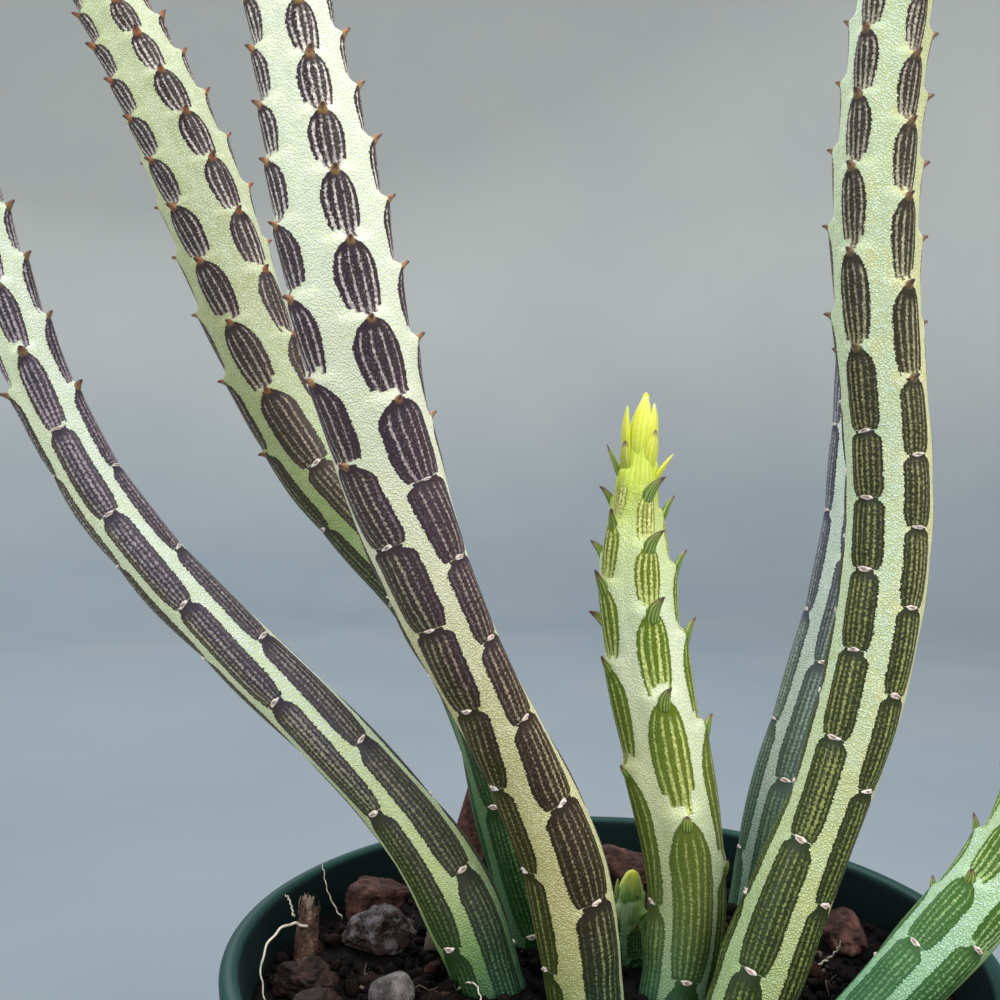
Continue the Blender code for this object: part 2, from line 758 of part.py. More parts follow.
def main():
    clear_scene()
    parts = new_collection("potted_pickle_plant")
    cutters = new_collection("cutters")
    leaves = new_collection("crown_leaves")
    make_pot(parts, cutters)
    paths = [make_stem(stem, parts, leaves) for stem in STEMS]
    bpy.data.collections.remove(leaves)
    make_soil(paths, parts, cutters, BARK_CHIPS + PEBBLES)
    bark = make_material("bark", BARK_COLOUR, 0.9)
    stone = make_material("pebble_stone", PEBBLE_COLOUR, 0.8)
    for name, place, size, turn in BARK_CHIPS:
        make_lump(name, place, size, turn, BARK_ROUGHNESS, parts, bark)
    for name, place, size, turn in PEBBLES:
        make_lump(name, place, size, turn, PEBBLE_ROUGHNESS, parts, stone)
    make_stub("bark_flake", BARK_FLAKE_AT, BARK_FLAKE_SIZE, BARK_FLAKE_LEAN, parts, bark)
    make_stub("twig", TWIG_AT, TWIG_SIZE, TWIG_LEAN, parts, bark)


main()
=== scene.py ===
"""Looks of the potted pickle plant: patterned stems in potting mix, in a green plastic pot.

Lengths that are fields or constants are in millimetres, and MM turns them into metres.
"""

import logging
import math
from collections.abc import Sequence
from dataclasses import dataclass, field
from enum import Enum

import bmesh
import bpy
import numpy as np
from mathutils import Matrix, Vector, noise


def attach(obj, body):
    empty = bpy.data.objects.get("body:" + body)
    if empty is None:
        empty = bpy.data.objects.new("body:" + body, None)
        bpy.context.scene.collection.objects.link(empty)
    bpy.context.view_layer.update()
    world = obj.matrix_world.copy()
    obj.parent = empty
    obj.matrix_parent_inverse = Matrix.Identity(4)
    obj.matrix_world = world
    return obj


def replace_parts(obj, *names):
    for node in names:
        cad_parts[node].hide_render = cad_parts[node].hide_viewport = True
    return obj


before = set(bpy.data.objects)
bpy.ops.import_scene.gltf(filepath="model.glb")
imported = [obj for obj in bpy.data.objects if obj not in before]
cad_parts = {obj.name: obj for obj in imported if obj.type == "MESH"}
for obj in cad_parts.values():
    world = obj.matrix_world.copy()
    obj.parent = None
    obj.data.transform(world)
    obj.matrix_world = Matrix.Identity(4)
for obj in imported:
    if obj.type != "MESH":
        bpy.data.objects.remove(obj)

LOG = logging.getLogger("potted_pickle_plant")
MM = 0.001
BODY = "root"

Array = np.ndarray
Piece = bpy.types.Object
Material = bpy.types.Material
Socket = bpy.types.NodeSocket
Paint = Socket | str  # another node's output, or a screen colour
Pair = tuple[float, float]
Triple = tuple[float, float, float]
Knots = Sequence[Pair]
Stops = Sequence[tuple[float, str]]

RIBS = 5
RIB_ANGLE = math.tau / RIBS


class Slot(Enum):
    """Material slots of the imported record."""

    POT = "pot_plastic"
    MIX = "potting_mix"
    STEM = "stem_skin"
    YOUNG = "young_skin"
    BARK = "bark"
    STONE = "pebble_stone"


# Colours and shader graphs


def linear(code: str) -> tuple[float, float, float, float]:
    """Turns a screen colour into the linear colour that a shader takes.

    Args:
        code: Colour as a hash sign and six hexadecimal digits.

    Returns:
        Red, green, blue and an alpha of 1.
    """
    parts = [int(code[i : i + 2], 16) / 255 for i in (1, 3, 5)]
    red, green, blue = (c / 12.92 if c <= 0.04045 else ((c + 0.055) / 1.055) ** 2.4 for c in parts)
    return red, green, blue, 1.0


class Signal:
    """A number that varies over a surface, as one output of a shader node, with arithmetic."""

    def __init__(self, graph: "Graph", socket: Socket) -> None:
        """Wraps one output socket of a graph."""
        self.graph = graph
        self.socket = socket

    def math(self, operation: str, *others: "Signal | float") -> "Signal":
        """Puts this signal and others through a Math node."""
        return self.graph.math(operation, self, *others)

    def __add__(self, other: "Signal | float") -> "Signal":
        """Sum."""
        return self.math("ADD", other)

    __radd__ = __add__

    def __mul__(self, other: "Signal | float") -> "Signal":
        """Product."""
        return self.math("MULTIPLY", other)

    __rmul__ = __mul__

    def __sub__(self, other: "Signal | float") -> "Signal":
        """Difference."""
        return self.math("SUBTRACT", other)

    def __rsub__(self, other: float) -> "Signal":
        """A number less this signal."""
        return self.graph.math("SUBTRACT", other, self)

    def __truediv__(self, other: "Signal | float") -> "Signal":
        """Quotient."""
        return self.math("DIVIDE", other)

    def __pow__(self, power: float) -> "Signal":
        """Power of a signal that is never negative."""
        return self.math("POWER", power)

    def __abs__(self) -> "Signal":
        """Size without the sign."""
        return self.math("ABSOLUTE")

    def floor(self) -> "Signal":
        """Whole number at or below."""
        return self.math("FLOOR")

    def round(self) -> "Signal":
        """Nearest whole number."""
        return self.math("ROUND")

    def least(self, other: "Signal | float") -> "Signal":
        """Smaller of the two."""
        return self.math("MINIMUM", other)

    def most(self, other: "Signal | float") -> "Signal":
        """Larger of the two."""
        return self.math("MAXIMUM", other)

    def wave(self) -> "Signal":
        """Cosine wave from 0 to 1 that repeats at each whole number."""
        return (self * math.tau).math("COSINE") * 0.5 + 0.5

    def smooth(self, low: float, high: float) -> "Signal":
        """Eased step.

        Args:
            low: Where the result is 0.
            high: Where the result is 1. It may be below low.

        Returns:
            A signal from 0 to 1.
        """
        ends = sorted((float(low), float(high)))
        node = self.graph.node("ShaderNodeMapRange", self, *ends, interpolation_type="SMOOTHSTEP")
        step = Signal(self.graph, node.outputs["Result"])
        return 1 - step if low > high else step

    def between(self, low: "Signal | float", high: "Signal | float") -> "Signal":
        """Reads a signal from 0 to 1 as a share of the way between two values."""
        return self * (high - low) + low


class Graph:
    """A material's shader graph, with a short call for each kind of node that the finishes use."""

    def __init__(self, name: str) -> None:
        """Makes a new material with one Principled shader.

        Args:
            name: The material's name.
        """
        self.material = bpy.data.materials.new(name)
        self.material.use_nodes = True
        self.tree = self.material.node_tree
        self.shader = self.tree.nodes["Principled BSDF"]

    def node(self, kind: str, *values: object, **settings: object) -> bpy.types.Node:
        """Adds a node.

        Args:
            kind: The node's Blender type.
            values: What its first inputs take, in order.
            settings: Its properties by name.

        Returns:
            The node.
        """
        made = self.tree.nodes.new(kind)
        for key, value in settings.items():
            setattr(made, key, value)
        for socket, value in zip(made.inputs, values):
            self.feed(socket, value)
        return made

    def feed(self, socket: Socket, value: object) -> None:
        """Gives an input a signal, another node's output, a screen colour, a number or a fixed vector.

        Args:
            socket: The input.
            value: What goes in.
        """
        if isinstance(value, Signal):
            self.tree.links.new(value.socket, socket)
        elif isinstance(value, Socket):
            self.tree.links.new(value, socket)
        elif isinstance(value, str):
            socket.default_value = linear(value)
        else:
            socket.default_value = value

    def math(self, operation: str, *values: Signal | float) -> Signal:
        """Puts values through a Math node."""
        return Signal(self, self.node("ShaderNodeMath", *values, operation=operation).outputs[0])

    def place(self) -> Socket:
        """Position on the piece, in metres."""
        return self.node("ShaderNodeTexCoord").outputs["Object"]

    def layer(self, name: str) -> tuple[Signal, Signal]:
        """Reads the two numbers of one of the mesh's coordinate layers."""
        split = self.node("ShaderNodeSeparateXYZ", self.node("ShaderNodeUVMap", uv_map=name).outputs[0])
        return Signal(self, split.outputs[0]), Signal(self, split.outputs[1])

    def axis(self, number: int) -> Signal:
        """Reads one coordinate of the position on the piece, in metres: 0 for X, 1 for Y, 2 for Z."""
        return Signal(self, self.node("ShaderNodeSeparateXYZ", self.place()).outputs[number])

    def facing(self, direction: Sequence[float]) -> Signal:
        """How far the surface faces a fixed direction.

        Args:
            direction: The direction, of length 1.

        Returns:
            1 where it faces that way, -1 where it faces the other way.
        """
        normal = self.node("ShaderNodeNewGeometry").outputs["Normal"]
        made = self.node("ShaderNodeVectorMath", normal, direction, operation="DOT_PRODUCT")
        return Signal(self, made.outputs["Value"])

    def vector(self, *values: Signal | float) -> Socket:
        """Joins up to three numbers into a vector."""
        return self.node("ShaderNodeCombineXYZ", *values).outputs[0]

    def stretched(self, x: float, y: float, z: float) -> Socket:
        """Scales each axis of the position on the piece by its own number."""
        return self.node("ShaderNodeVectorMath", self.place(), (x, y, z), operation="MULTIPLY").outputs[0]

    def noise(
        self, pitch: float, detail: float = 2.0, vector: Socket | None = None, roughness: float = 0.5
    ) -> Signal:
        """Adds soft noise.

        Args:
            pitch: Distance from one bump to the next, in millimetres on the piece's own position.
            detail: Number of finer layers.
            vector: Coordinates to read instead of the position.
            roughness: Strength of each finer layer.

        Returns:
            A signal from about 0 to 1.
        """
        made = self.node("ShaderNodeTexNoise", vector or self.place())
        made.inputs["Scale"].default_value = 1 / (pitch * MM) if vector is None else 1 / pitch
        made.inputs["Detail"].default_value = detail
        made.inputs["Roughness"].default_value = roughness
        return Signal(self, made.outputs[0])

    def cells(self, pitch: float) -> Signal:
        """Adds a pattern of cells.

        Args:
            pitch: Cell size in millimetres.

        Returns:
            The distance to the nearest cell's centre, in cells.
        """
        made = self.node("ShaderNodeTexVoronoi", self.place())
        made.inputs["Scale"].default_value = 1 / (pitch * MM)
        return Signal(self, made.outputs["Distance"])

    def chance(self, *values: Signal | float) -> Signal:
        """Random number from 0 to 1, the same wherever the given numbers are the same."""
        made = self.node("ShaderNodeTexWhiteNoise", self.vector(*values), noise_dimensions="3D")
        return Signal(self, made.outputs["Value"])

    def mix(self, share: Signal | float, low: Paint, high: Paint) -> Socket:
        """Mixes two colours.

        Args:
            share: 0 for the first colour, 1 for the second.
            low: First colour.
            high: Second colour.

        Returns:
            The mixed colour.
        """
        made = self.node("ShaderNodeMix", share, data_type="RGBA", clamp_factor=True)
        self.feed(made.inputs[6], low)
        self.feed(made.inputs[7], high)
        return made.outputs[2]

    def ramp(self, share: Signal, stops: Stops) -> Socket:
        """Reads a colour off a list of stops.

        Args:
            share: Where to read, from 0 to 1.
            stops: Places and screen colours in rising order.

        Returns:
            The colour.
        """
        made = self.node("ShaderNodeValToRGB", share)
        scale = made.color_ramp
        while len(scale.elements) < len(stops):
            scale.elements.new(1.0)
        for element, (place, _) in zip(scale.elements, stops):
            element.position = place
        for element, (_, code) in zip(scale.elements, stops):
            element.color = linear(code)
        return made.outputs[0]

    def bump(self, height: Signal, depth: float) -> None:
        """Roughens the surface by a height signal.

        Args:
            height: From 0 to 1.
            depth: What 1 stands for, in millimetres.
        """
        made = self.node("ShaderNodeBump")
        made.inputs["Strength"].default_value = 1.0
        made.inputs["Distance"].default_value = depth * MM
        self.feed(made.inputs["Height"], height)
        self.feed(self.shader.inputs["Normal"], made.outputs[0])

    def dress(self, colour: Paint, roughness: Signal | float, **steady: object) -> Material:
        """Sets the shader's inputs.

        Args:
            colour: Base colour.
            roughness: Roughness.
            steady: Other inputs that are the same all over, by name with underscores for spaces.

        Returns:
            The finished material.
        """
        self.feed(self.shader.inputs["Base Color"], colour)
        self.feed(self.shader.inputs["Roughness"], roughness)
        for name, value in steady.items():
            self.feed(self.shader.inputs[name.replace("_", " ")], value)
        return self.material


# Meshes


@dataclass
class Sheet:
    """Points, faces and coordinate layers of a mesh that is being gathered."""

    points: list[Array] = field(default_factory=list)
    faces: list[Array] = field(default_factory=list)
    layers: dict[str, list[Array]] = field(default_factory=dict)
    count: int = 0

    def add(self, points: Array, *groups: Array, **layers: Array) -> None:
        """Adds a patch.

        Args:
            points: Its points, one row each.
            groups: Its faces, one row each, numbered from its own first point. The rows of a group
                have the same length.
            layers: Two numbers for each point, by layer name.
        """
        self.points.append(points)
        for faces in groups:
            self.faces.append(faces + self.count)
            for name, values in layers.items():
                self.layers.setdefault(name, []).append(values[faces.reshape(-1)])
        self.count += len(points)

    def piece(self, name: str, material: Material, slot: Slot) -> Piece:
        """Makes the object, and has it ride on the body.

        Args:
            name: The piece's name.
            material: Its finish.
            slot: The record's slot that the finish belongs to. It is not used.

        Returns:
            The piece.
        """
        points = np.concatenate(self.points)
        faces = [row for patch in self.faces for row in patch.tolist()]
        layers = {key: np.concatenate(values) for key, values in self.layers.items()}
        return make_piece(name, points, faces, layers, material)


def make_piece(
    name: str,
    points: Array,
    faces: list[list[int]],
    layers: dict[str, Array],
    material: Material,
) -> Piece:
    """Makes a smooth object from points and faces, and has it ride on the body.

    Args:
        name: The piece's name.
        points: One row each, in metres.
        faces: Point numbers of each face, turning left seen from outside.
        layers: Two numbers for each corner of each face, by layer name.
        material: Its finish.

    Returns:
        The piece.
    """
    mesh = bpy.data.meshes.new(name)
    mesh.from_pydata(points, [], faces)
    for key, values in layers.items():
        mesh.uv_layers.new(name=key).data.foreach_set("uv", values.astype(np.float32).reshape(-1))
    mesh.materials.append(material)
    mesh.shade_smooth()
    obj = bpy.data.objects.new(name, mesh)
    bpy.context.scene.collection.objects.link(obj)
    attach(obj, BODY)
    return obj


def grid_faces(rows: int, columns: int, closed: bool = True) -> Array:
    """Faces of a grid of points that is stored row by row.

    Args:
        rows: Number of rows.
        columns: Number of points in a row.
        closed: Whether each row joins its own start.

    Returns:
        One row of four point numbers for each face.
    """
    width = columns if closed else columns - 1
    row, column = np.meshgrid(np.arange(rows - 1), np.arange(width), indexing="ij")
    following = (column + 1) % columns
    low = row * columns
    high = low + columns
    return np.stack([low + column, low + following, high + following, high + column], -1).reshape(-1, 4)


def fan_faces(ring: Array, centre: int, outward: bool = True) -> Array:
    """Triangles from a ring of points to one point.

    Args:
        ring: Numbers of the ring's points.
        centre: Number of the centre point.
        outward: Whether they turn the same way as the ring.

    Returns:
        One row of three point numbers for each face.
    """
    following = np.roll(ring, -1)
    middle = np.full_like(ring, centre)
    order = (ring, following, middle) if outward else (following, ring, middle)
    return np.stack(order, -1)


def end_faces(rows: int, columns: int) -> Array:
    """Triangles that close both ends of a tube whose rings are stored row by row.

    Args:
        rows: Number of rings.
        columns: Number of points in a ring.

    Returns:
        One row of three point numbers for each face, first those at the last ring, which meet in the
        point stored right after the rings, then those at the first ring, which meet in the next one.
    """
    ring = np.arange(columns)
    total = rows * columns
    return np.concatenate([fan_faces(ring + total - columns, total), fan_faces(ring, total + 1, False)])


def circle(sides: int) -> Array:
    """Evenly spaced angles of one full turn."""
    return np.arange(sides) * math.tau / sides


def turned_ring(radius: Array, height: Array, angle: Array, wave: Array | float = 1.0) -> Array:
    """Points of a turned form, ring by ring.

    Args:
        radius: Radius of each ring.
        height: Height of each ring.
        angle: Angles of the points of a ring.
        wave: Factor on the radius at each angle.

    Returns:
        One row for each point.
    """
    x = np.outer(radius, np.cos(angle) * wave)
    y = np.outer(radius, np.sin(angle) * wave)
    z = np.repeat(height[:, None], len(angle), axis=1)
    return np.stack([x, y, z], -1).reshape(-1, 3)


def unit(vectors: Array) -> Array:
    """Scales each row to length 1."""
    return vectors / np.linalg.norm(vectors, axis=-1, keepdims=True)


def ease(values: Array, low: float, high: float) -> Array:
    """Eased step of an array."""
    share = np.clip((values - low) / (high - low), 0, 1)
    return share * share * (3 - 2 * share)


def rough(points: Array, pitch: float, seed: float = 0.0, octaves: int = 1) -> Array:
    """Soft noise at each point.

    Args:
        points: One row each, in metres.
        pitch: Distance from one bump to the next, in millimetres.
        seed: Moves the pattern.
        octaves: Number of layers, each twice as fine and half as strong as the one before.

    Returns:
        Numbers from about -1 to 1.
    """
    scaled = points / (pitch * MM) + seed
    if octaves == 1:
        return np.array([noise.noise(Vector(row)) for row in scaled])
    return np.array([noise.fractal(Vector(row), 1.0, 2.0, octaves) for row in scaled])


def tube(route: Array, radii: Array, sides: int) -> tuple[Array, Array]:
    """Round tube with pointed ends along a route.

    Args:
        route: Points of its centre line.
        radii: Its radius at each of them.
        sides: Points round it.

    Returns:
        Its points and its faces.
    """
    along = unit(np.gradient(route, axis=0))
    helper = np.array([0.31, 0.22, 0.92]) if abs(along[0, 2]) < 0.8 else np.array([0.95, 0.28, 0.12])
    across = unit(np.cross(along, helper))
    other = np.cross(along, across)
    angle = circle(sides)
    ring = across[:, None] * np.cos(angle)[None, :, None]
    ring = ring + other[:, None] * np.sin(angle)[None, :, None]
    points = (route[:, None] + radii[:, None, None] * ring).reshape(-1, 3)
    return points, grid_faces(len(route), sides)


# Shared growth of the stems


@dataclass(frozen=True)
class Growth:
    """Sizes that all stems share, in millimetres and in leaf spacings."""

    buried: float = 8.0
    collar: float = 2.2
    leaf_offset: float = 0.4
    tip_fade: float = 1.7
    tip_clear: float = 0.3
    tubercle: float = 0.7
    slender: float = 4.0
    full_leaf: float = 1.4
    least_leaf: float = 0.4  # where leaves are shorter, they have fallen and left a scar
    rib_hollow: float = 0.97
    foot_taper: float = 0.2
    uneven: float = 0.09
    uneven_pitch: float = 9.0
    row_step: float = 0.475
    columns: int = 24


GROWTH = Growth()


class StemPath:
    """Smooth centre line of a stem, with its girth, leaf count and rib angle along it. Metres."""

    SAMPLES = 400

    def __init__(self, stem: "Stem") -> None:
        """Works out the tables along the stem.

        Args:
            stem: The stem's sizes.
        """
        self.stem = stem
        points = np.array(stem.route) * MM
        knots = np.r_[0, np.cumsum(np.linalg.norm(np.diff(points, axis=0), axis=1))]
        self.centres = natural_spline(knots, points, np.linspace(0, knots[-1], self.SAMPLES))
        steps = np.linalg.norm(np.diff(self.centres, axis=0), axis=1)
        self.lengths = np.r_[0, np.cumsum(steps)]
        self.length = float(self.lengths[-1])
        self.shares = self.lengths / self.length
        self.spacings = self.read(stem.spacing, self.shares) * MM
        rate = (1 / self.spacings[1:] + 1 / self.spacings[:-1]) / 2
        self.counts = np.r_[0, np.cumsum(steps * rate)]
        self.tangents = unit(np.gradient(self.centres, axis=0))
        self.axis = self.tangents[0]
        plain = self.read(stem.girth, self.shares) * MM / 2
        reach = self.SAMPLES // 28
        padded = np.r_[np.full(reach, plain[0]), plain, 2 * plain[-1] - plain[-2 : -reach - 2 : -1]]
        bell = np.hanning(2 * reach + 3)[1:-1]
        self.radii = np.maximum(np.convolve(padded, bell / bell.sum(), "valid"), plain[-1])
        lean = math.acos(float(self.axis[2]))
        self.collar = GROWTH.collar * MM + float(self.radii[0]) * math.tan(lean)

    @staticmethod
    def read(knots: Knots, shares: Array) -> Array:
        """Reads a knot list at shares of the length."""
        places, values = zip(*knots)
        return np.interp(shares, places, values)

    def along(self, table: Array, distance: Array) -> Array:
        """Reads a table of three numbers a row at distances above the soil."""
        return np.stack([np.interp(distance, self.lengths, table[:, k]) for k in range(3)], -1)

    def centre(self, distance: Array) -> Array:
        """Points of the centre line at distances above the soil, carried on straight below it."""
        return self.along(self.centres, distance) + np.minimum(distance, 0)[..., None] * self.axis

    def frame(self, distance: Array) -> tuple[Array, Array, Array]:
        """Directions along the stem, to the front and to the right, square to each other.

        Args:
            distance: Distances above the soil.

        Returns:
            Three arrays with one row for each distance.
        """
        tangent = unit(self.along(self.tangents, distance))
        front = unit(np.array([0.0, -1.0, 0.0]) + tangent * tangent[..., 1:2])
        return tangent, front, -np.cross(front, tangent)

    def radius(self, distance: Array) -> Array:
        """Radius without the ribs' relief."""
        return np.interp(distance, self.lengths, self.radii)

    def angle(self, distance: Array, ribwise: Array) -> Array:
        """Angle from the front of a place round the stem.

        Args:
            distance: Distances above the soil.
            ribwise: Places round the stem in ribs.

        Returns:
            Angles. Where the ribs are splayed they stand further apart on the front.
        """
        share = distance / self.length
        splay = np.radians(self.read(self.stem.splay, share))
        turn = np.radians(self.read(self.stem.turn, share))
        return turn + RIB_ANGLE * ribwise + splay * np.sin(RIB_ANGLE * (ribwise + 0.5))

    def rib_width(self, distance: Array, rib: Array) -> Array:
        """Width of a rib along the skin, in metres."""
        splay = np.radians(self.read(self.stem.splay, distance / self.length))
        return self.radius(distance) * RIB_ANGLE * (1 + splay * np.cos(RIB_ANGLE * (rib + 0.5)))

    def leaf(self, distance: Array) -> Array:
        """Leaf length in millimetres."""
        return self.read([(-1.0, 0.0), *self.stem.leaf], distance / self.length)

    def count(self, distance: Array) -> Array:
        """Leaf spacings above the soil, carried on evenly below it."""
        return np.interp(distance, self.lengths, self.counts) + np.minimum(distance, 0) / self.spacings[0]

    def offset(self, rib: Array) -> Array:
        """Height of a rib's leaves over the first rib's, in spacings."""
        shift = self.stem.hand * GROWTH.leaf_offset * rib
        return shift - np.round(shift)

    def level(self, distance: Array, rib: Array) -> Array:
        """Leaf level of a rib at a distance: a whole number at each leaf.

        Args:
            distance: Distances above the soil.
            rib: Rib numbers from 0.

        Returns:
            Levels, rising towards the tip.
        """
        count = self.count(distance)
        offset = self.offset(rib)
        total = self.counts[-1]
        plain = count - offset
        faded = (count - total * offset / GROWTH.tip_fade) / (1 - offset / GROWTH.tip_fade)
        return np.where(plain <= total - GROWTH.tip_fade, plain, faded) - self.stem.first_leaf

    def leaf_distance(self, number: int, rib: int) -> float:
        """Distance at which a rib holds a leaf.

        Args:
            number: The leaf's level.
            rib: Rib number from 0.

        Returns:
            Distance above the soil.
        """
        level = number + self.stem.first_leaf
        fade = min(1.0, max(0.0, (self.counts[-1] - level) / GROWTH.tip_fade))
        return float(np.interp(level + fade * self.offset(np.array(rib)), self.counts, self.lengths))


def natural_spline(knots: Array, points: Array, places: Array) -> Array:
    """Natural cubic spline.

    Args:
        knots: Place of each point along the route.
        points: The points that it runs through.
        places: Where to read it.

    Returns:
        One row for each place.
    """
    gaps = np.diff(knots)
    size = len(knots)
    matrix = np.eye(size)
    slopes = np.zeros_like(points)
    for i in range(1, size - 1):
        matrix[i, i - 1 : i + 2] = gaps[i - 1], 2 * (gaps[i - 1] + gaps[i]), gaps[i]
        after = (points[i + 1] - points[i]) / gaps[i]
        before = (points[i] - points[i - 1]) / gaps[i - 1]
        slopes[i] = 6 * (after - before)
    bends = np.linalg.solve(matrix, slopes)
    at = np.clip(np.searchsorted(knots, places) - 1, 0, size - 2)
    gap = gaps[at][:, None]
    left = (knots[at + 1] - places)[:, None]
    right = (places - knots[at])[:, None]
    return (
        bends[at] * left**3 / (6 * gap)
        + bends[at + 1] * right**3 / (6 * gap)
        + (points[at] / gap - bends[at] * gap / 6) * left
        + (points[at + 1] / gap - bends[at + 1] * gap / 6) * right
    )


# Finishes of the stems


@dataclass(frozen=True)
class SkinFinish:
    """Colours of a stem's skin. Each list runs from the soil, 0, to the tip, 1."""

    ground: Stops
    # Paler mint: the waxy bloom in the valleys between the marks, and painted light on the side of the
    # stem that faces a set direction.
    bloom: Stops
    gap: Stops
    stripe: Stops
    # Mark colours for the side away from right, front and up: partly sun-side pigment, partly painted
    # shade.
    far_stripe: Stops
    line: Stops
    # Direction of the side of the stem that is painted paler, as painted light.
    bloom_from: Triple = (0.8, -0.3, 0.5)
    scale_root: str = "#8a6242"
    line_width: float = 1.0

    # Height at which a mark starts to narrow, on a bare stretch and on a leafy one
    BARE_ARCH = 0.86
    LEAFY_ARCH = 0.60
    # Distance between the pale lines, in half widths of a mark, on the same two stretches
    BARE_PITCH = 0.33
    LEAFY_PITCH = 0.46

    def material(self, name: str) -> Material:
        """Builds the skin: pebbled ground with arched, striped marks that end at each leaf, with painted
        light and shade that tint the sides of the stem.

        Args:
            name: The material's name.

        Returns:
            The material.
        """
        g = Graph(name)
        across, level = g.layer("marks")
        share, leafy = g.layer("growth")
        rib_width, spacing = g.layer("size")
        width, below_bud = g.layer("form")
        ragged = g.noise(0.34, 2.0) - 0.5
        wander = g.noise(1.9, 1.0) - 0.5
        rib = across.round()
        a = across - rib
        number = level.floor()
        p = level - number
        own = g.chance(rib, number)
        half = width * own.between(0.92, 1.06)
        arch_start = leafy.between(self.BARE_ARCH, self.LEAFY_ARCH)
        q = ((p - arch_start) / (1 - arch_start)).most(0.0)
        arch = (1 - q**1.8).most(0.0005) ** 0.6
        low = (1 - p / leafy.between(0.22, 0.55)).most(0.0)
        narrowing = 1 - low * low * leafy.between(0.24, 0.42)
        outline = (half * arch * narrowing).most(leafy.between(half * 0.62, rib_width**-1.0 * 0.42))
        x = (a + wander * 0.024 + ragged * leafy * 0.014) / outline
        settled = below_bud.smooth(-1.5, 1.0)
        pale, pebble = self.pale_ground(g, share, a, half, settled)
        edge = (1 - abs(x)) * outline * rib_width + ragged * 0.42 - pebble * 0.12 + 0.05
        pitch = leafy.between(self.BARE_PITCH, self.LEAFY_PITCH)
        stripe = (x / pitch).round()
        own_stripe = g.chance(rib + 0.5, number, stripe)
        outer = (abs(stripe) - 1).most(0.0)
        foot = own_stripe * 0.15 + outer * 0.04
        bottom = (p - leafy * foot) * spacing - 0.04 + ragged * 0.45
        mark = edge.least(bottom).smooth(-0.06, 0.06) * settled
        line = self.lines(g, x, pitch, outline * rib_width, p, spacing, rib, number, leafy, ragged)
        streak = (across * 5.0 + g.noise(0.8) * 0.9).wave() * (1 - settled)
        colour = g.mix(streak * 0.6, pale, g.ramp(share, self.gap))
        # Painted light and shade: stripes on the side facing right, front and up take the cooler, more
        # purple colours, and those on the far side the warmer ones. This is partly sun-side pigment and
        # partly painted sky light.
        side = (g.facing((0.88, -0.25, 0.40)) + (g.noise(1.3, 1.0) - 0.5) * 0.7).smooth(-0.30, 0.35)
        dark = g.mix(side, g.ramp(share, self.far_stripe), g.ramp(share, self.stripe))
        # Painted shade: on bare stretches the pale lines dull towards the gap colour on the far side.
        faded = (1 - side) * (1 - leafy) * 0.5
        pale_line = g.mix(faded, g.ramp(share, self.line), g.ramp(share, self.gap))
        colour = g.mix(mark, colour, dark)
        colour = g.mix(mark * line, colour, pale_line)
        root = ((p - 1) * spacing + 1.0).smooth(0.1, 0.8) * leafy * settled
        ridge = (1 - abs(a) * rib_width / 0.62).smooth(0.0, 0.5)
        colour = g.mix(root * ridge * 0.8, colour, self.scale_root)
        height = pebble * (1 - mark) * settled * 0.8 + mark * (line * 0.55 + 0.1) + ragged * 0.25
        g.bump(height, 0.11)
        worn = g.noise(1.6) * 0.12 - 0.06
        return g.dress(colour, mark.between(0.58, 0.50) + worn, Specular_IOR_Level=0.24)

    def lines(
        self,
        g: Graph,
        x: Signal,
        pitch: Signal,
        half_width: Signal,
        p: Signal,
        spacing: Signal,
        rib: Signal,
        number: Signal,
        leafy: Signal,
        ragged: Signal,
    ) -> Signal:
        """Beaded pale lines that run down a mark.

        Args:
            g: The material's graph.
            x: Place across the mark, from -1 to 1.
            pitch: Distance between the lines, in half widths.
            half_width: Half width of the mark, in millimetres.
            p: Height in the mark, from 0 to 1.
            spacing: Height of the mark, in millimetres.
            rib: Number of the rib.
            number: Level of the mark.
            leafy: 1 on a leafy stretch.
            ragged: Fine noise about 0.

        Returns:
            How strongly each point belongs to a line.
        """
        lane = (x / pitch).floor()
        off = abs(x / pitch - lane - 0.5) * pitch * half_width
        own = g.chance(lane, number + 0.3, rib)
        drift = g.noise(0.9, 1.0) * 1.8
        bead = (p * spacing / leafy.between(0.66, 0.50) + own * 7.0 + drift).wave()
        broad = leafy.between(own.between(0.15, 0.24), own.between(0.10, 0.19))
        broad = broad + p.smooth(0.6, 0.0) * leafy * 0.10
        waist = (1 - bead) * leafy.between(0.15, 0.08)
        width = broad * self.line_width - waist + ragged * leafy.between(0.40, 0.50)
        ends = (p + leafy * own * 0.10).smooth(0.95, 0.82) * p.smooth(0.0, 0.04)
        inside = ((1 - abs(x)) * leafy.between(0.55, 1.0)).smooth(0.03, 0.20)
        spark = g.noise(0.42, 1.0).smooth(0.35, 0.62)
        sparkle = leafy.between(spark.between(0.35, 0.85), spark.between(0.42, 1.0))
        strength = own.between(0.65, 1.0) * sparkle
        fleck = g.noise(0.2, 1.0).smooth(0.58, 0.72) * 0.32
        return ((width - off).smooth(-0.06, 0.06) * strength).most(fleck) * ends * inside

    def pale_ground(
        self, g: Graph, share: Signal, a: Signal, half: Signal, settled: Signal
    ) -> tuple[Socket, Signal]:
        """Pebbled pale ground between the marks, painted paler on the side that faces a set direction as
        painted light.

        Args:
            g: The material's graph.
            share: Share of the stem's length.
            a: Place across the rib, 0 on its ridge.
            half: Half width of the marks.
            settled: 0 on the smooth skin below a bud, 1 elsewhere.

        Returns:
            Its colour, and the height of its pebbles.
        """
        pebble = g.cells(0.27).smooth(0.64, 0.24)
        blotch = g.noise(1.5, 3.0)
        dull = (1 - pebble) * blotch.between(0.25, 1.6).least(1.0)
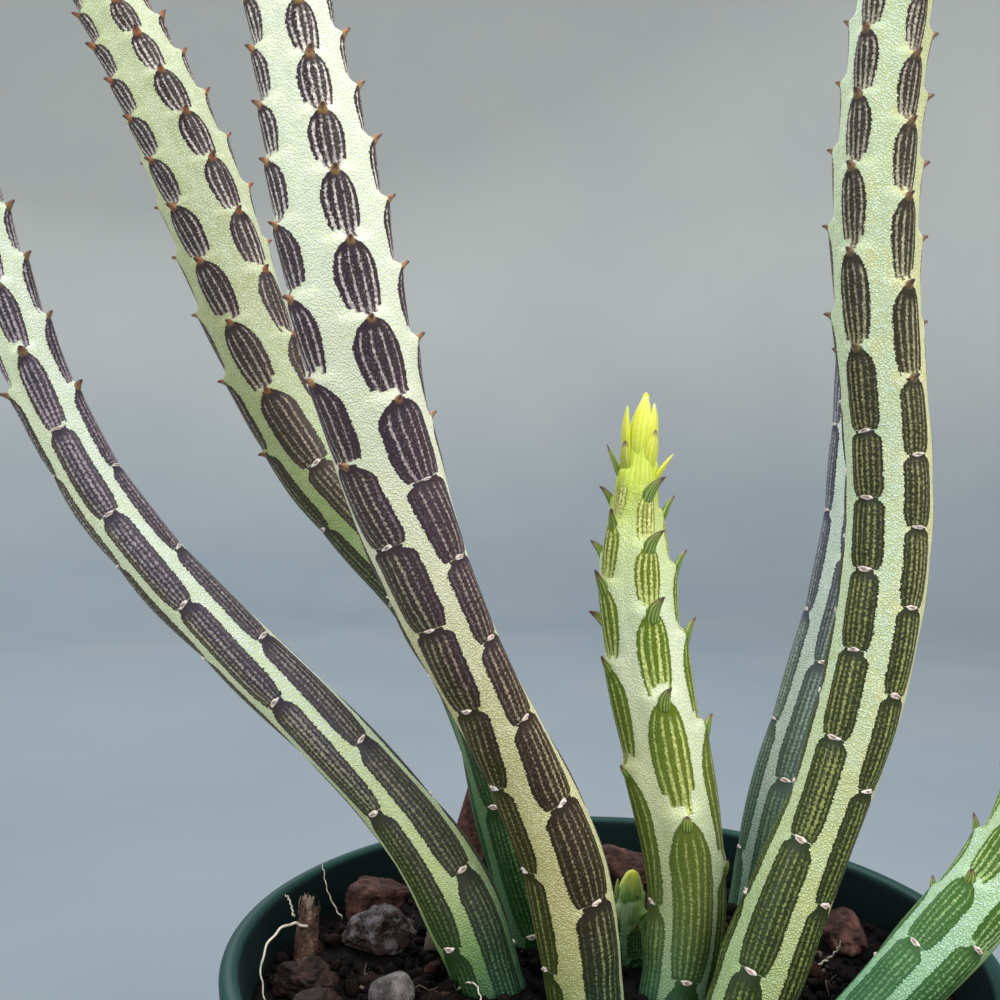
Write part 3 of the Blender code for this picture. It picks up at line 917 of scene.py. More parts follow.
        # Painted light: the side that faces a set direction, with some noise, is painted towards the
        # paler mint colours.
        bloom = (g.facing(self.bloom_from) + (g.noise(2.4, 2.0) - 0.5) * 1.1).smooth(-0.05, 0.85)
        valley = (abs(a) - half).smooth(0.02, 0.2) * 0.25
        bloomed = (bloom + valley).least(1.0)
        ground = g.mix(bloomed, g.ramp(share, self.ground), g.ramp(share, self.bloom))
        return g.mix(dull * settled.between(0.12, 0.70), ground, g.ramp(share, self.gap)), pebble


@dataclass(frozen=True)
class LeafFinish:
    """Colours of a stem's leaves, from root, 0, to point, 1, for old scales and for young leaves."""

    old: Stops
    young: Stops
    point: str = "#4a2f35"
    mottle: float = 0.6
    vein: str = "#c9b98a"
    veining: float = 0.22

    def material(self, name: str) -> Material:
        """Builds the leaf finish.

        Args:
            name: The material's name.

        Returns:
            The material.
        """
        g = Graph(name)
        along, age = g.layer("blade")
        across, own = g.layer("across")
        shift = (own - 0.5) * 0.12 + (g.noise(0.7, 2.0) - 0.5) * 0.22
        place = (along + shift).most(0.0).least(1.0)
        colour = g.mix(age, g.ramp(place, self.young), g.ramp(place, self.old))
        vein = (across * 2.2 + g.noise(0.9) * 0.6).wave().smooth(0.45, 1.0)
        colour = g.mix(vein * age.between(0.30, self.veining), colour, g.mix(age, "#f7f7a0", self.vein))
        seam = (across * 2.2 + g.noise(0.9) * 0.6 + 0.5).wave().smooth(0.6, 1.0)
        colour = g.mix(seam * 0.22, colour, g.mix(age, "#a8ac1c", "#3c2c22"))
        blot = g.noise(0.35, 2.0).smooth(0.50, 0.66) * age.smooth(0.3, 1.0)
        colour = g.mix(blot * self.mottle, colour, self.point)
        dark_point = (along + (own - 0.5) * 0.08).smooth(0.74, 0.95) * age.smooth(0.07, 0.16)
        colour = g.mix(dark_point * 0.8, colour, self.point)
        g.bump(vein * 0.5 + g.noise(0.3), 0.06)
        return g.dress(
            colour,
            g.noise(1.0).between(0.38, 0.55),
            Sheen_Weight=0.12,
            Sheen_Roughness=0.4,
            Subsurface_Weight=0.12,
            Subsurface_Scale=0.0008,
        )


@dataclass(frozen=True)
class ScarFinish:
    """Colours of the small oval scars that fallen leaves leave."""

    rim: str = "#ead8cf"
    heart: str = "#a99284"
    foot: str = "#8f7a68"

    def material(self, name: str) -> Material:
        """Builds the scar finish.

        Args:
            name: The material's name.

        Returns:
            The material.
        """
        g = Graph(name)
        reach, own = g.layer("scar")
        speck = g.noise(0.22, 2.0)
        body = g.mix(reach.smooth(0.30, 0.62), self.heart, self.rim)
        colour = g.mix(reach.smooth(0.88, 1.0), body, self.foot)
        colour = g.mix(speck.smooth(0.42, 0.70) * 0.55, colour, g.mix(own, "#b48a78", "#fbf6f0"))
        pit = g.noise(0.16, 2.0).smooth(0.52, 0.66) * reach.smooth(0.62, 0.30)
        colour = g.mix(pit * 0.35, colour, "#6a5046")
        g.bump(speck, 0.10)
        return g.dress(colour, g.noise(0.6).between(0.5, 0.7))


# Blades: scale leaves and young leaves


@dataclass
class Blade:
    """One leaf: its root, bend and point, in metres, and its look. Curl is its radius across."""

    root: Array
    bend: Array
    point: Array
    out: Array
    width: float
    thickness: float
    age: float
    own: float
    curl: float


class BladeShape(Enum):
    """Outlines of a leaf."""

    THORN = "thorn"
    SCALE = "scale"
    LANCE = "lance"


@dataclass
class Blades:
    """Leaves of one stem, built as one mesh."""

    shape: BladeShape
    rings: int = 9
    sides: int = 12

    def half_width(self, q: Array) -> Array:
        """Half width of a leaf of width 2, from root to point.

        Args:
            q: Shares of the leaf's length.

        Returns:
            Half widths.
        """
        if self.shape is BladeShape.THORN:
            return (1 - q) ** 0.6 * (0.7 + 0.3 * np.sqrt(np.clip(q / 0.3, 0, 1))) + 0.02
        if self.shape is BladeShape.SCALE:
            return (1 - q**2.0) ** 0.9 * (0.62 + 0.38 * np.sqrt(np.clip(q / 0.3, 0, 1))) + 0.02
        belly = 0.68 + 0.32 * np.sin(np.pi * np.clip(q * 1.15, 0, 1))
        return belly * (1 - np.clip(q, 0, 1) ** 3.8) ** 0.60 + 0.02

    def build(self, blades: Sequence[Blade], sheet: Sheet) -> None:
        """Adds the leaves to a mesh.

        Args:
            blades: The leaves.
            sheet: The mesh that is being gathered.
        """
        q = np.linspace(0, 1, self.rings)
        angle = circle(self.sides)
        width = self.half_width(q)
        for blade in blades:
            line = np.outer((1 - q) ** 2, blade.root) + np.outer(2 * q * (1 - q), blade.bend)
            line = line + np.outer(q**2, blade.point)
            along = unit(np.gradient(line, axis=0))
            across = unit(np.cross(along, blade.out))
            up = np.cross(across, along)
            w = (width * blade.width / 2)[:, None]
            h = (width**0.8 * blade.thickness / 2)[:, None]
            sideways = w * np.cos(angle)
            lift = h * np.sin(angle) - sideways**2 / (2 * blade.curl)
            ring = line[:, None] + sideways[..., None] * across[:, None] + lift[..., None] * up[:, None]
            tip = line[-1] + along[-1] * blade.width * 0.05
            points = np.concatenate([ring.reshape(-1, 3), tip[None], line[:1]])
            along_leaf = np.append(np.repeat(q, self.sides), [1, 0])
            across_leaf = np.append(np.tile(np.cos(angle), self.rings), [0, 0])
            sheet.add(
                points,
                grid_faces(self.rings, self.sides),
                end_faces(self.rings, self.sides),
                blade=np.stack([along_leaf, np.full(len(points), blade.age)], -1),
                across=np.stack([across_leaf, np.full(len(points), blade.own)], -1),
            )


# Stems


@dataclass(frozen=True)
class BudLeaf:
    """A young leaf, in millimetres: its turn from the front in degrees, its root and point below the
    stem's tip, how far its middle and its point stand from the axis, its width and its age."""

    turn: float
    root: float
    point: float
    belly: float
    reach: float
    width: float
    age: float


BUD_LENGTH = 8.5
BUD_LEAVES = (
    BudLeaf(165, 8.6, 0.9, 1.50, 0.45, 2.7, 0.0),
    BudLeaf(-112, 8.6, 0.8, 1.50, 0.45, 2.7, 0.0),
    BudLeaf(64, 8.4, 1.0, 1.85, 1.30, 3.3, 0.02),
    BudLeaf(20, 8.6, 0.5, 1.55, 0.40, 2.7, 0.0),
    BudLeaf(-12, 8.4, 0.1, 1.70, 0.40, 3.0, 0.0),
    BudLeaf(-62, 9.2, 1.8, 2.65, 2.75, 1.7, 0.05),
    BudLeaf(48, 10.2, 4.6, 2.25, 2.25, 2.7, 0.20),
    BudLeaf(140, 10.0, 3.8, 2.4, 2.7, 2.1, 0.12),
    BudLeaf(-52, 10.8, 6.5, 2.75, 2.90, 1.9, 0.55),
    BudLeaf(-165, 10.6, 5.8, 2.7, 3.3, 2.0, 0.30),
    BudLeaf(-98, 11.6, 7.2, 3.3, 4.5, 2.1, 0.85),
    BudLeaf(76, 12.0, 7.6, 3.3, 4.7, 2.2, 0.06),
    BudLeaf(170, 12.2, 8.6, 3.4, 4.4, 2.1, 0.5),
)


@dataclass(frozen=True)
class Crown:
    """Closed bud of young leaves at a growing tip, with looser ones below it."""

    size: float = BUD_LENGTH
    start: float = 0.0
    girth: float = 1.0
    hue: float = 0.0  # added to the age of each leaf
    clear: float = 12.8  # scale leaves stop this far below the tip, at full size
    wander: float = 6.0


@dataclass
class Stem:
    """One stem. Each knot list holds (share of the length above the soil, value)."""

    name: str
    route: Sequence[Triple]
    girth: Knots
    spacing: Knots
    turn: Knots
    first_leaf: float
    hand: int
    leaf: Knots
    crown: Crown
    skin: SkinFinish
    leaves: LeafFinish
    slot: Slot = Slot.STEM
    marks: Knots = ((0, 0.39), (1, 0.27))
    splay: Knots = ((0, 0.0),)
    blade: Knots = ((0, 1.0), (1, 1.0))
    blade_width: Knots = ((0, 1.45), (1, 1.35))
    blade_depth: float = 0.95
    blade_shape: BladeShape = BladeShape.THORN
    lean: float = 0.95
    aside: float = 0.0  # how far the leaves' points lean to the side
    seat: float = 0.18  # how far below its rib's step a leaf starts
    scar_size: float = 1.35
    seed: int = 1

    def __post_init__(self) -> None:
        """Works out the stem's path."""
        self.path = StemPath(self)
        self.random = np.random.default_rng(self.seed)
        self.bud_clear = self.crown.clear * self.crown.size / BUD_LENGTH

    def relief(self, phase: Array, leafiness: Array) -> Array:
        """Height of a rib's ridge over the stem's radius, in tubercle heights.

        Args:
            phase: Height between one leaf, 0, and the next, 1.
            leafiness: 1 where leaves are full.

        Returns:
            Heights.
        """
        climb = np.interp(phase, [0, 0.1, 0.3, 0.6, 0.85, 1], [-0.15, -0.15, 0.12, 0.5, 0.86, 1.0])
        drop = 0.5 + 0.5 * np.cos(np.pi * np.clip(phase / 0.1, 0, 1))
        leafy = climb + (1.15 * drop) * (phase < 0.1)
        bare = -0.2 + 0.62 * np.sin(np.pi * np.clip(phase, 0, 1)) ** 0.7
        return leafiness * leafy + (1 - leafiness) * bare

    def surface(self, distance: Array, ribwise: Array) -> Array:
        """Points of the skin.

        Args:
            distance: Distances above the soil.
            ribwise: Places round the stem in ribs, a whole number on each ridge.

        Returns:
            One row for each.
        """
        path = self.path
        rib = np.floor(ribwise + 0.5)
        a = ribwise - rib
        level = path.level(distance, rib % RIBS)
        phase = level - np.floor(level)
        leafiness = np.clip(path.leaf(distance) / GROWTH.full_leaf, 0, 1)
        base = path.radius(distance)
        lobe = np.cos(np.pi * a) ** 2
        risen = ease(distance, path.collar, path.collar + 4 * MM)
        height = GROWTH.tubercle * MM * np.minimum(1, base / (GROWTH.slender * MM))
        bulge = height * self.relief(phase, leafiness) * lobe**0.75 * risen
        taper = 1 - GROWTH.foot_taper * ease(-distance, 0.7 * GROWTH.buried * MM, GROWTH.buried * MM)
        radius = base * (1 - (1 - GROWTH.rib_hollow) * (1 - lobe * risen)) * taper + bulge
        angle = path.angle(np.maximum(distance, 0), ribwise)
        _, front, side = path.frame(distance)
        out = front * np.cos(angle)[..., None] + side * np.sin(angle)[..., None]
        return path.centre(distance) + radius[..., None] * out

    def rows(self) -> Array:
        """Spaces the skin's rings evenly.

        Returns:
            Their distances above the soil, from the foot in the mix to the tip.
        """
        step = GROWTH.row_step * MM
        start = -GROWTH.buried * MM
        return np.linspace(start, self.path.length, int((self.path.length - start) / step))

    def build_skin(self) -> Piece:
        """Builds the skin, closed at the foot and at the tip.

        Returns:
            The piece.
        """
        path = self.path
        rows = self.rows()
        columns = RIBS * GROWTH.columns
        ribwise = -0.5 + np.arange(columns) / GROWTH.columns
        distance, around = np.meshgrid(rows, ribwise, indexing="ij")
        points = self.surface(distance, around).reshape(-1, 3)
        out = unit(points - np.repeat(path.centre(rows), columns, axis=0))
        uneven = rough(points, GROWTH.uneven_pitch, self.seed * 7.3) * GROWTH.uneven * MM
        points += uneven[:, None] * out
        faces = grid_faces(len(rows), columns)
        column = np.tile(np.arange(columns), len(rows) - 1)
        row = np.repeat(np.arange(len(rows) - 1), columns)
        rib = column // GROWTH.columns
        low = column / GROWTH.columns - 0.5
        high = low + 1 / GROWTH.columns
        corner_rows = np.stack([row, row, row + 1, row + 1], -1)
        corner_across = np.stack([low, high, high, low], -1)
        corner_ribs = np.stack([rib] * 4, -1)
        inset = 0.9998  # keeps each corner on its own side of the furrow between two ribs
        corner_across = corner_ribs + (corner_across - corner_ribs) * inset
        at = rows[corner_rows]
        level = path.level(at, corner_ribs)
        share = np.clip(at / path.length, 0, 1)
        leafiness = np.clip(path.leaf(at) / GROWTH.full_leaf, 0, 1)
        rib_width = path.rib_width(at, corner_ribs) / MM
        spacing = path.read(self.spacing, share)
        mark = path.read(self.marks, share)
        below_bud = (path.length - at) / MM - self.bud_clear
        layers = {
            "marks": np.stack([corner_across, level], -1).reshape(-1, 2),
            "growth": np.stack([share, leafiness], -1).reshape(-1, 2),
            "size": np.stack([rib_width, spacing], -1).reshape(-1, 2),
            "form": np.stack([mark, below_bud], -1).reshape(-1, 2),
        }
        tip = path.centre(np.array([path.length + 0.3 * MM]))
        tip = tip + path.frame(np.array([path.length]))[0] * 0.4 * MM
        foot = path.centre(np.array([-GROWTH.buried * MM]))
        points = np.concatenate([points, tip, foot])
        caps = end_faces(len(rows), columns)
        ends = {
            "marks": ((0.5, float(level.max())), (0.5, float(level.min()))),
            "growth": ((1.0, 1.0), (0.0, 0.0)),
            "size": ((1.5, 3.0), (6.0, 20.0)),
            "form": ((0.3, -5.0), (0.4, 100.0)),
        }
        for key, at_ends in ends.items():
            layers[key] = np.concatenate([layers[key], np.repeat(at_ends, caps.size // 2, axis=0)])
        name = f"{self.name}_skin"
        every = faces.tolist() + caps.tolist()
        piece = make_piece(name, points, every, layers, self.skin.material(name))
        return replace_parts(piece, self.name)

    def leaf_places(self) -> list[tuple[int, float]]:
        """Finds every leaf or scar above the soil.

        Returns:
            Their rib numbers and distances above the soil.
        """
        places = []
        top = self.path.counts[-1] - GROWTH.tip_clear
        for rib in range(RIBS):
            for number in range(-2, int(top) + 2):
                distance = self.path.leaf_distance(number, rib)
                level = number + self.first_leaf + float(self.path.offset(np.array(rib)))
                if distance > self.path.collar * 0.6 and level < top and distance > 0:
                    places.append((rib, distance))
        return places

    def ridge(self, rib: int, distance: float) -> tuple[Array, Array, Array]:
        """Point on a rib's ridge, with the directions out of it and along the stem.

        Args:
            rib: Rib number from 0.
            distance: Distance above the soil.

        Returns:
            The point, the direction out and the direction along.
        """
        at = np.array([distance - 0.02 * MM])
        point = self.surface(at, np.array([float(rib)]))[0]
        centre = self.path.centre(at)[0]
        tangent = self.path.frame(at)[0][0]
        return point, unit(point - centre), tangent

    def scale_leaves(self) -> list[Blade]:
        """Small leaves along the ribs, more upright towards the tip.

        Returns:
            The leaves.
        """
        blades = []
        path = self.path
        clear = self.bud_clear * MM
        for rib, distance in self.leaf_places():
            leaf = float(path.leaf(np.array(distance)))
            if leaf < GROWTH.least_leaf or path.length - distance < clear:
                continue
            point, out, along = self.ridge(rib, distance)
            share = np.array(distance / path.length)
            upright = float(ease(share, 0.6, 1.0))
            wobble = self.random.uniform(0.85, 1.15)
            reach = float(path.read(self.blade, share)) * wobble * MM
            width = float(path.read(self.blade_width, share)) * wobble * MM
            lean = self.lean * (1 - 0.15 * upright)
            across = np.cross(along, out)
            aside = self.aside + self.random.uniform(-0.16, 0.16)
            tip = point + reach * (lean * out + math.sqrt(1 - lean**2) * along + aside * across)
            sunk = (0.26 * width + self.seat * MM) * along
            root = point - sunk - 0.42 * self.blade_depth * MM * out
            bend = point + 0.30 * reach * along + 0.10 * MM * out
            thickness = self.blade_depth * wobble * MM
            own = self.random.uniform()
            blades.append(Blade(root, bend, tip, out, width, thickness, 1.0, own, 0.9 * width))
        return blades

    def crown_leaves(self, outer: bool) -> list[Blade]:
        """Young leaves at the growing tip.

        Args:
            outer: Whether to build the spreading leaves, or those that stand close to the bud.

        Returns:
            The leaves.
        """
        crown = self.crown
        scale = crown.size / BUD_LENGTH
        blades = []
        for leaf in BUD_LEAVES:
            if outer != (leaf.reach > 3):
                continue
            closed = leaf.reach < 1
            steps = np.array([leaf.root, (leaf.root + leaf.point) / 2, leaf.point]) * scale * MM
            distance = np.minimum(self.path.length - steps, self.path.length)
            tangent, front, side = self.path.frame(distance)
            angle = math.radians(crown.start + leaf.turn + crown.wander * self.random.uniform(-1, 1))
            out = front * math.cos(angle) + side * math.sin(angle)
            beyond = self.path.length - steps - distance
            centre = self.path.centre(distance) + tangent * beyond[:, None]
            root = float(self.path.radius(distance)[0]) * 0.80
            girth = scale * crown.girth * MM
            middle = max(leaf.belly * girth, 0.9 * root if closed else 0.0)
            radii = np.array([root, 2 * middle - (root + leaf.reach * girth) / 2, leaf.reach * girth])
            points = centre + out * radii[:, None]
            width, curl = leaf.width * girth, 1.15 * leaf.belly * girth
            thickness = (0.62 if closed else 0.90) * girth
            age = min(1.0, leaf.age + crown.hue)
            own = self.random.uniform()
            blades.append(Blade(*points, out[1], width, thickness, age, own, curl))
        return blades

    def build_leaves(self) -> Piece:
        """Builds the scale leaves and the crown.

        Returns:
            The piece.
        """
        sheet = Sheet()
        Blades(self.blade_shape, rings=12, sides=14).build(self.scale_leaves(), sheet)
        Blades(BladeShape.LANCE, rings=22, sides=18).build(self.crown_leaves(False), sheet)
        Blades(BladeShape.SCALE, rings=16, sides=18).build(self.crown_leaves(True), sheet)
        name = f"{self.name}_leaves"
        return sheet.piece(name, self.leaves.material(name), self.slot)

    def build_scars(self) -> Piece | None:
        """Builds the small raised oval scars on the bare stretch.

        Returns:
            The piece, or nothing where no leaf has fallen.
        """
        reach = np.array([0.0, 0.30, 0.48, 0.64, 0.80, 0.94, 1.10])
        lift = np.array([0.19, 0.19, 0.22, 0.27, 0.22, 0.08, -0.18]) * MM
        sides = 26
        angle = circle(sides)
        sheet = Sheet()
        for rib, distance in self.leaf_places():
            if float(self.path.leaf(np.array(distance))) >= GROWTH.least_leaf:
                continue
            point, out, along = self.ridge(rib, distance)
            across = np.cross(along, out)
            wide = self.random.uniform(0.54, 0.68) * self.scar_size * MM
            high = wide * (self.random.uniform(0.38, 0.56) - 0.30 * distance / self.path.length)
            tilt = self.random.uniform(-0.3, 0.3)
            lumpy = 1 + 0.10 * np.sin(3 * angle + tilt * 20) + 0.07 * np.sin(5 * angle - tilt * 31)
            x = np.outer(reach, wide * np.cos(angle) * lumpy)
            y = np.outer(reach, high * np.sin(angle) * lumpy)
            x, y = x * math.cos(tilt) - y * math.sin(tilt), x * math.sin(tilt) + y * math.cos(tilt)
            radius = float(self.path.radius(np.array(distance)))
            drop = x**2 / (2 * radius)
            z = lift[:, None] * (1 + 0.35 * np.cos(3 * angle + tilt * 9)) - drop
            points = point + x[..., None] * across + y[..., None] * along + z[..., None] * out
            layer = np.stack([np.repeat(reach / reach[-1], sides), np.full(x.size, tilt + 0.5)], -1)
            sheet.add(points.reshape(-1, 3), grid_faces(len(reach), sides)[:, ::-1], scar=layer)
        if not sheet.count:
            return None
        name = f"{self.name}_scars"
        return sheet.piece(name, ScarFinish().material(name), self.slot)

    def build(self) -> list[Piece]:
        """Builds the whole stem."""
        made = [self.build_skin(), self.build_leaves(), self.build_scars()]
        return [piece for piece in made if piece]


TAN_SCALES = LeafFinish(
    old=[(0, "#8a6238"), (0.35, "#b98a56"), (0.7, "#9a6844"), (1, "#3c231a")],
    young=[(0, "#a9b860"), (0.55, "#b9b455"), (0.85, "#8a6a3a"), (1, "#4a3020")],
)
RUST_SCALES = LeafFinish(
    old=[(0, "#7d4a2c"), (0.35, "#b0683a"), (0.7, "#8f5230"), (1, "#361e16")],
    young=[(0, "#a9b860"), (0.55, "#b9b455"), (0.85, "#8a6a3a"), (1, "#4a3020")],
)
GREEN_SCALES = LeafFinish(
    old=[(0, "#5a7a1c"), (0.45, "#688828"), (0.70, "#787e38"), (0.88, "#654838"), (1, "#443032")],
    young=[(0, "#c6d64a"), (0.35, "#e2e63a"), (0.75, "#eff04a"), (0.93, "#f2f270"), (1, "#f6f5a8")],
    mottle=0.12,
    vein="#d0d884",
    veining=0.50,
)
SHOOT_SCALES = LeafFinish(
    old=[(0, "#4f8a48"), (0.5, "#74a050"), (0.85, "#8a8a48"), (1, "#5a4a34")],
    young=[(0, "#5c9a54"), (0.5, "#86b85c"), (0.9, "#c4d684"), (1, "#dce4a0")],
    mottle=0.1,
)
MIXED_SCALES = LeafFinish(
    old=[(0, "#5e5a34"), (0.4, "#8f6a44"), (0.7, "#7a5238"), (1, "#35241b")],
    young=[(0, "#9dbb6a"), (0.5, "#b9c25c"), (0.85, "#a08a48"), (1, "#5a4028")],
)

# In these skins the stops near the soil are painted lighter than the skin itself, as painted light that
# makes up for the shade of the pot's rim and the other stems.
TALL_FRONT_SKIN = SkinFinish(
    ground=[
        (0, "#c0c888"), (0.09, "#e2dca2"), (0.3, "#dfd7a6"), (0.42, "#ecedd0"), (0.6, "#f3f6e2"),
        (1, "#f2f6e0"),
    ],
    bloom=[
        (0, "#cdddb6"), (0.1, "#ecebc0"), (0.3, "#e8e6c2"), (0.42, "#f0f1e0"), (0.6, "#f6f9ee"),
        (1, "#f6faf0"),
    ],
    gap=[
        (0, "#7c8e4c"), (0.1, "#a89c56"), (0.3, "#a0985a"), (0.45, "#c6c692"), (0.6, "#d6ddac"),
        (1, "#d9e2b6"),
    ],
    stripe=[
        (0, "#22352a"), (0.1, "#30241c"), (0.25, "#30231c"), (0.4, "#3a2c34"), (0.58, "#392a33"),
        (0.72, "#36262a"), (1, "#36241f"),
    ],
    far_stripe=[
        (0, "#38461c"), (0.12, "#333518"), (0.3, "#333018"), (0.45, "#3b2b2e"), (0.6, "#3e2b36"),
        (0.75, "#352228"), (1, "#36241f"),
    ],
    line=[
        (0, "#8f9e5c"), (0.15, "#b3a87c"), (0.3, "#b39a86"), (0.5, "#cbb8b6"), (0.65, "#ece4d8"),
        (1, "#f0ecdc"),
    ],
)
TALL_BACK_SKIN = SkinFinish(
    ground=[
        (0, "#567f58"), (0.22, "#88a672"), (0.4, "#b2bc84"), (0.55, "#ccd0a0"), (0.7, "#dde2b8"),
        (1, "#dfe8c0"),
    ],
    bloom=[
        (0, "#76a07e"), (0.22, "#a4c09a"), (0.35, "#b9cfa6"), (0.5, "#d6dcc0"), (0.7, "#eaf0d4"),
        (1, "#eef6e2"),
    ],
    gap=[(0, "#44704a"), (0.22, "#5c8650"), (0.4, "#7f9a50"), (0.6, "#a0a060"), (1, "#b0be84")],
    stripe=[
        (0, "#20482a"), (0.2, "#2a3a22"), (0.42, "#3c302a"), (0.6, "#382c2c"), (0.75, "#302424"),
        (1, "#36261e"),
    ],
    far_stripe=[(0, "#224e2c"), (0.25, "#303a20"), (0.5, "#3c3028"), (0.75, "#322426"), (1, "#36261e")],
    line=[(0, "#5f9a4e"), (0.3, "#9fa878"), (0.5, "#bba894"), (0.7, "#dccfca"), (1, "#e4dccc")],
)
LEFT_SKIN = SkinFinish(
    ground=[
        (0, "#4c7450"), (0.05, "#86a466"), (0.14, "#d8e0a4"), (0.35, "#e8ecbe"), (0.6, "#e6eac0"),
        (1, "#e2eac8"),
    ],
    bloom=[
        (0, "#5a8c6c"), (0.05, "#88ae80"), (0.14, "#dce8c0"), (0.35, "#f0fbee"), (0.6, "#f4fbf2"),
        (1, "#eef6ec"),
    ],
    gap=[
        (0, "#305638"), (0.05, "#527c44"), (0.14, "#a2b46e"), (0.35, "#c0cc94"), (0.6, "#c6d0a8"),
        (1, "#b8c89e"),
    ],
    stripe=[(0, "#1a382c"), (0.12, "#323428"), (0.35, "#3a363e"), (0.6, "#3e3642"), (1, "#302428")],
    far_stripe=[(0, "#22441f"), (0.12, "#34421f"), (0.3, "#40362a"), (0.6, "#42362c"), (1, "#322420")],
    line=[(0, "#5d8c5c"), (0.15, "#949468"), (0.35, "#b3a69a"), (0.7, "#bcaab2"), (1, "#c8c0c4")],
    bloom_from=(0.45, -0.1, 0.88),
)
YOUNG_SKIN = SkinFinish(
    ground=[
        (0, "#94ab86"), (0.15, "#bcc498"), (0.39, "#eceec6"), (0.6, "#e8eed0"), (0.76, "#dde8ac"),
        (0.85, "#c9da5c"), (1, "#e2e650"),
    ],
    bloom=[
        (0, "#a6c4ae"), (0.15, "#c8d8b8"), (0.39, "#f6fae2"), (0.6, "#f2f8e0"), (0.76, "#e8f2bc"),
        (0.85, "#d9e56c"), (1, "#eaec60"),
    ],
    gap=[
        (0, "#609864"), (0.15, "#92a864"), (0.39, "#c8ce88"), (0.6, "#ccd8a6"), (0.76, "#bccf72"),
        (0.85, "#aebf3c"), (1, "#ccd83c"),
    ],
    stripe=[
        (0, "#2c4c2c"), (0.15, "#505e2a"), (0.39, "#606e20"), (0.6, "#5a7010"), (0.76, "#68720e"),
        (0.85, "#8a9028"), (1, "#d4d83c"),
    ],
    far_stripe=[
        (0, "#30543c"), (0.15, "#50622c"), (0.39, "#5e7024"), (0.6, "#5a7418"), (0.76, "#6d7c16"),
        (0.85, "#8c942c"), (1, "#d4d83c"),
    ],
    line=[
        (0, "#86b082"), (0.15, "#b4b872"), (0.39, "#ccd27c"), (0.6, "#e0e894"), (0.76, "#eef0a0"),
        (0.86, "#eef0a0"), (1, "#eeec7c"),
    ],
    bloom_from=(0.75, -0.55, 0.35),
    scale_root="#76593c",
    line_width=1.3,
)
RIGHT_SKIN = SkinFinish(
    ground=[
        (0, "#bccb84"), (0.1, "#dcdea0"), (0.3, "#f2efbe"), (0.55, "#f2eebc"), (0.8, "#e6e8b2"),
        (1, "#dce4b2"),
    ],
    bloom=[(0, "#b4d09c"), (0.15, "#cfe2b8"), (0.4, "#dcf2d8"), (0.7, "#d8ecd0"), (1, "#dcf0dc")],
    gap=[(0, "#74904a"), (0.2, "#a6a45a"), (0.6, "#b0ac68"), (1, "#b4b87e")],
    stripe=[
        (0, "#27301a"), (0.2, "#2b3014"), (0.45, "#2b2c13"), (0.65, "#302a18"), (0.8, "#2e2119"),
        (1, "#33241f"),
    ],
    far_stripe=[(0, "#2a3c1c"), (0.3, "#2a3216"), (0.5, "#2a2a18"), (0.75, "#2c211c"), (1, "#30221c")],
    line=[(0, "#94aa58"), (0.3, "#acb068"), (0.5, "#b4ac78"), (0.7, "#c0b49c"), (1, "#d4ceb8")],
    bloom_from=(-0.92, -0.35, 0.15),
)
# Its ground and bloom colours are painted near white, as painted light for a stem that stands in the
# shade of the one in front.
BACK_RIGHT_SKIN = SkinFinish(
    ground=[(0, "#7ea080"), (0.2, "#d8e6cc"), (0.4, "#ecf8e0"), (0.6, "#f0fae8"), (1, "#ecf8e0")],
    bloom=[(0, "#9cc0a8"), (0.2, "#e0eee2"), (0.4, "#eef8f0"), (0.6, "#f2faf4"), (1, "#eaf8ee")],
    gap=[(0, "#6c9070"), (0.2, "#b4c8ac"), (1, "#bcceb0")],
    stripe=[(0, "#3e5e4a"), (0.25, "#525e5a"), (0.45, "#484660"), (0.7, "#46405a"), (1, "#3a3044")],
    far_stripe=[(0, "#405e46"), (0.25, "#505e52"), (0.5, "#464258"), (1, "#3a3440")],
    line=[(0, "#6ca070"), (0.3, "#a8bcac"), (0.5, "#b4b0c2"), (1, "#b8b0bc")],
    line_width=1.25,
    bloom_from=(-0.95, -0.25, 0.15),
)
SIDE_SKIN = SkinFinish(
    ground=[(0, "#6ca468"), (0.4, "#aed084"), (0.75, "#cce29c"), (0.88, "#cbdb68"), (1, "#dee658")],
    bloom=[(0, "#94cca8"), (0.4, "#cce8d0"), (0.75, "#dff2d0"), (0.88, "#d8e67c"), (1, "#e6ea68")],
    gap=[(0, "#4f854e"), (0.5, "#8eb15c"), (0.88, "#a9c243"), (1, "#ccd83c")],
    stripe=[(0, "#24543a"), (0.4, "#3e601e"), (0.72, "#587416"), (0.86, "#8f962c"), (1, "#d4d83c")],
    far_stripe=[(0, "#2a5c40"), (0.4, "#3a6426"), (0.72, "#58781e"), (0.86, "#8c962c"), (1, "#d4d83c")],
    line=[(0, "#84b48c"), (0.5, "#c2da8e"), (0.86, "#e6ec90"), (1, "#eeec7c")],
    bloom_from=(-0.55, -0.5, 0.67),
    scale_root="#76593c",
)


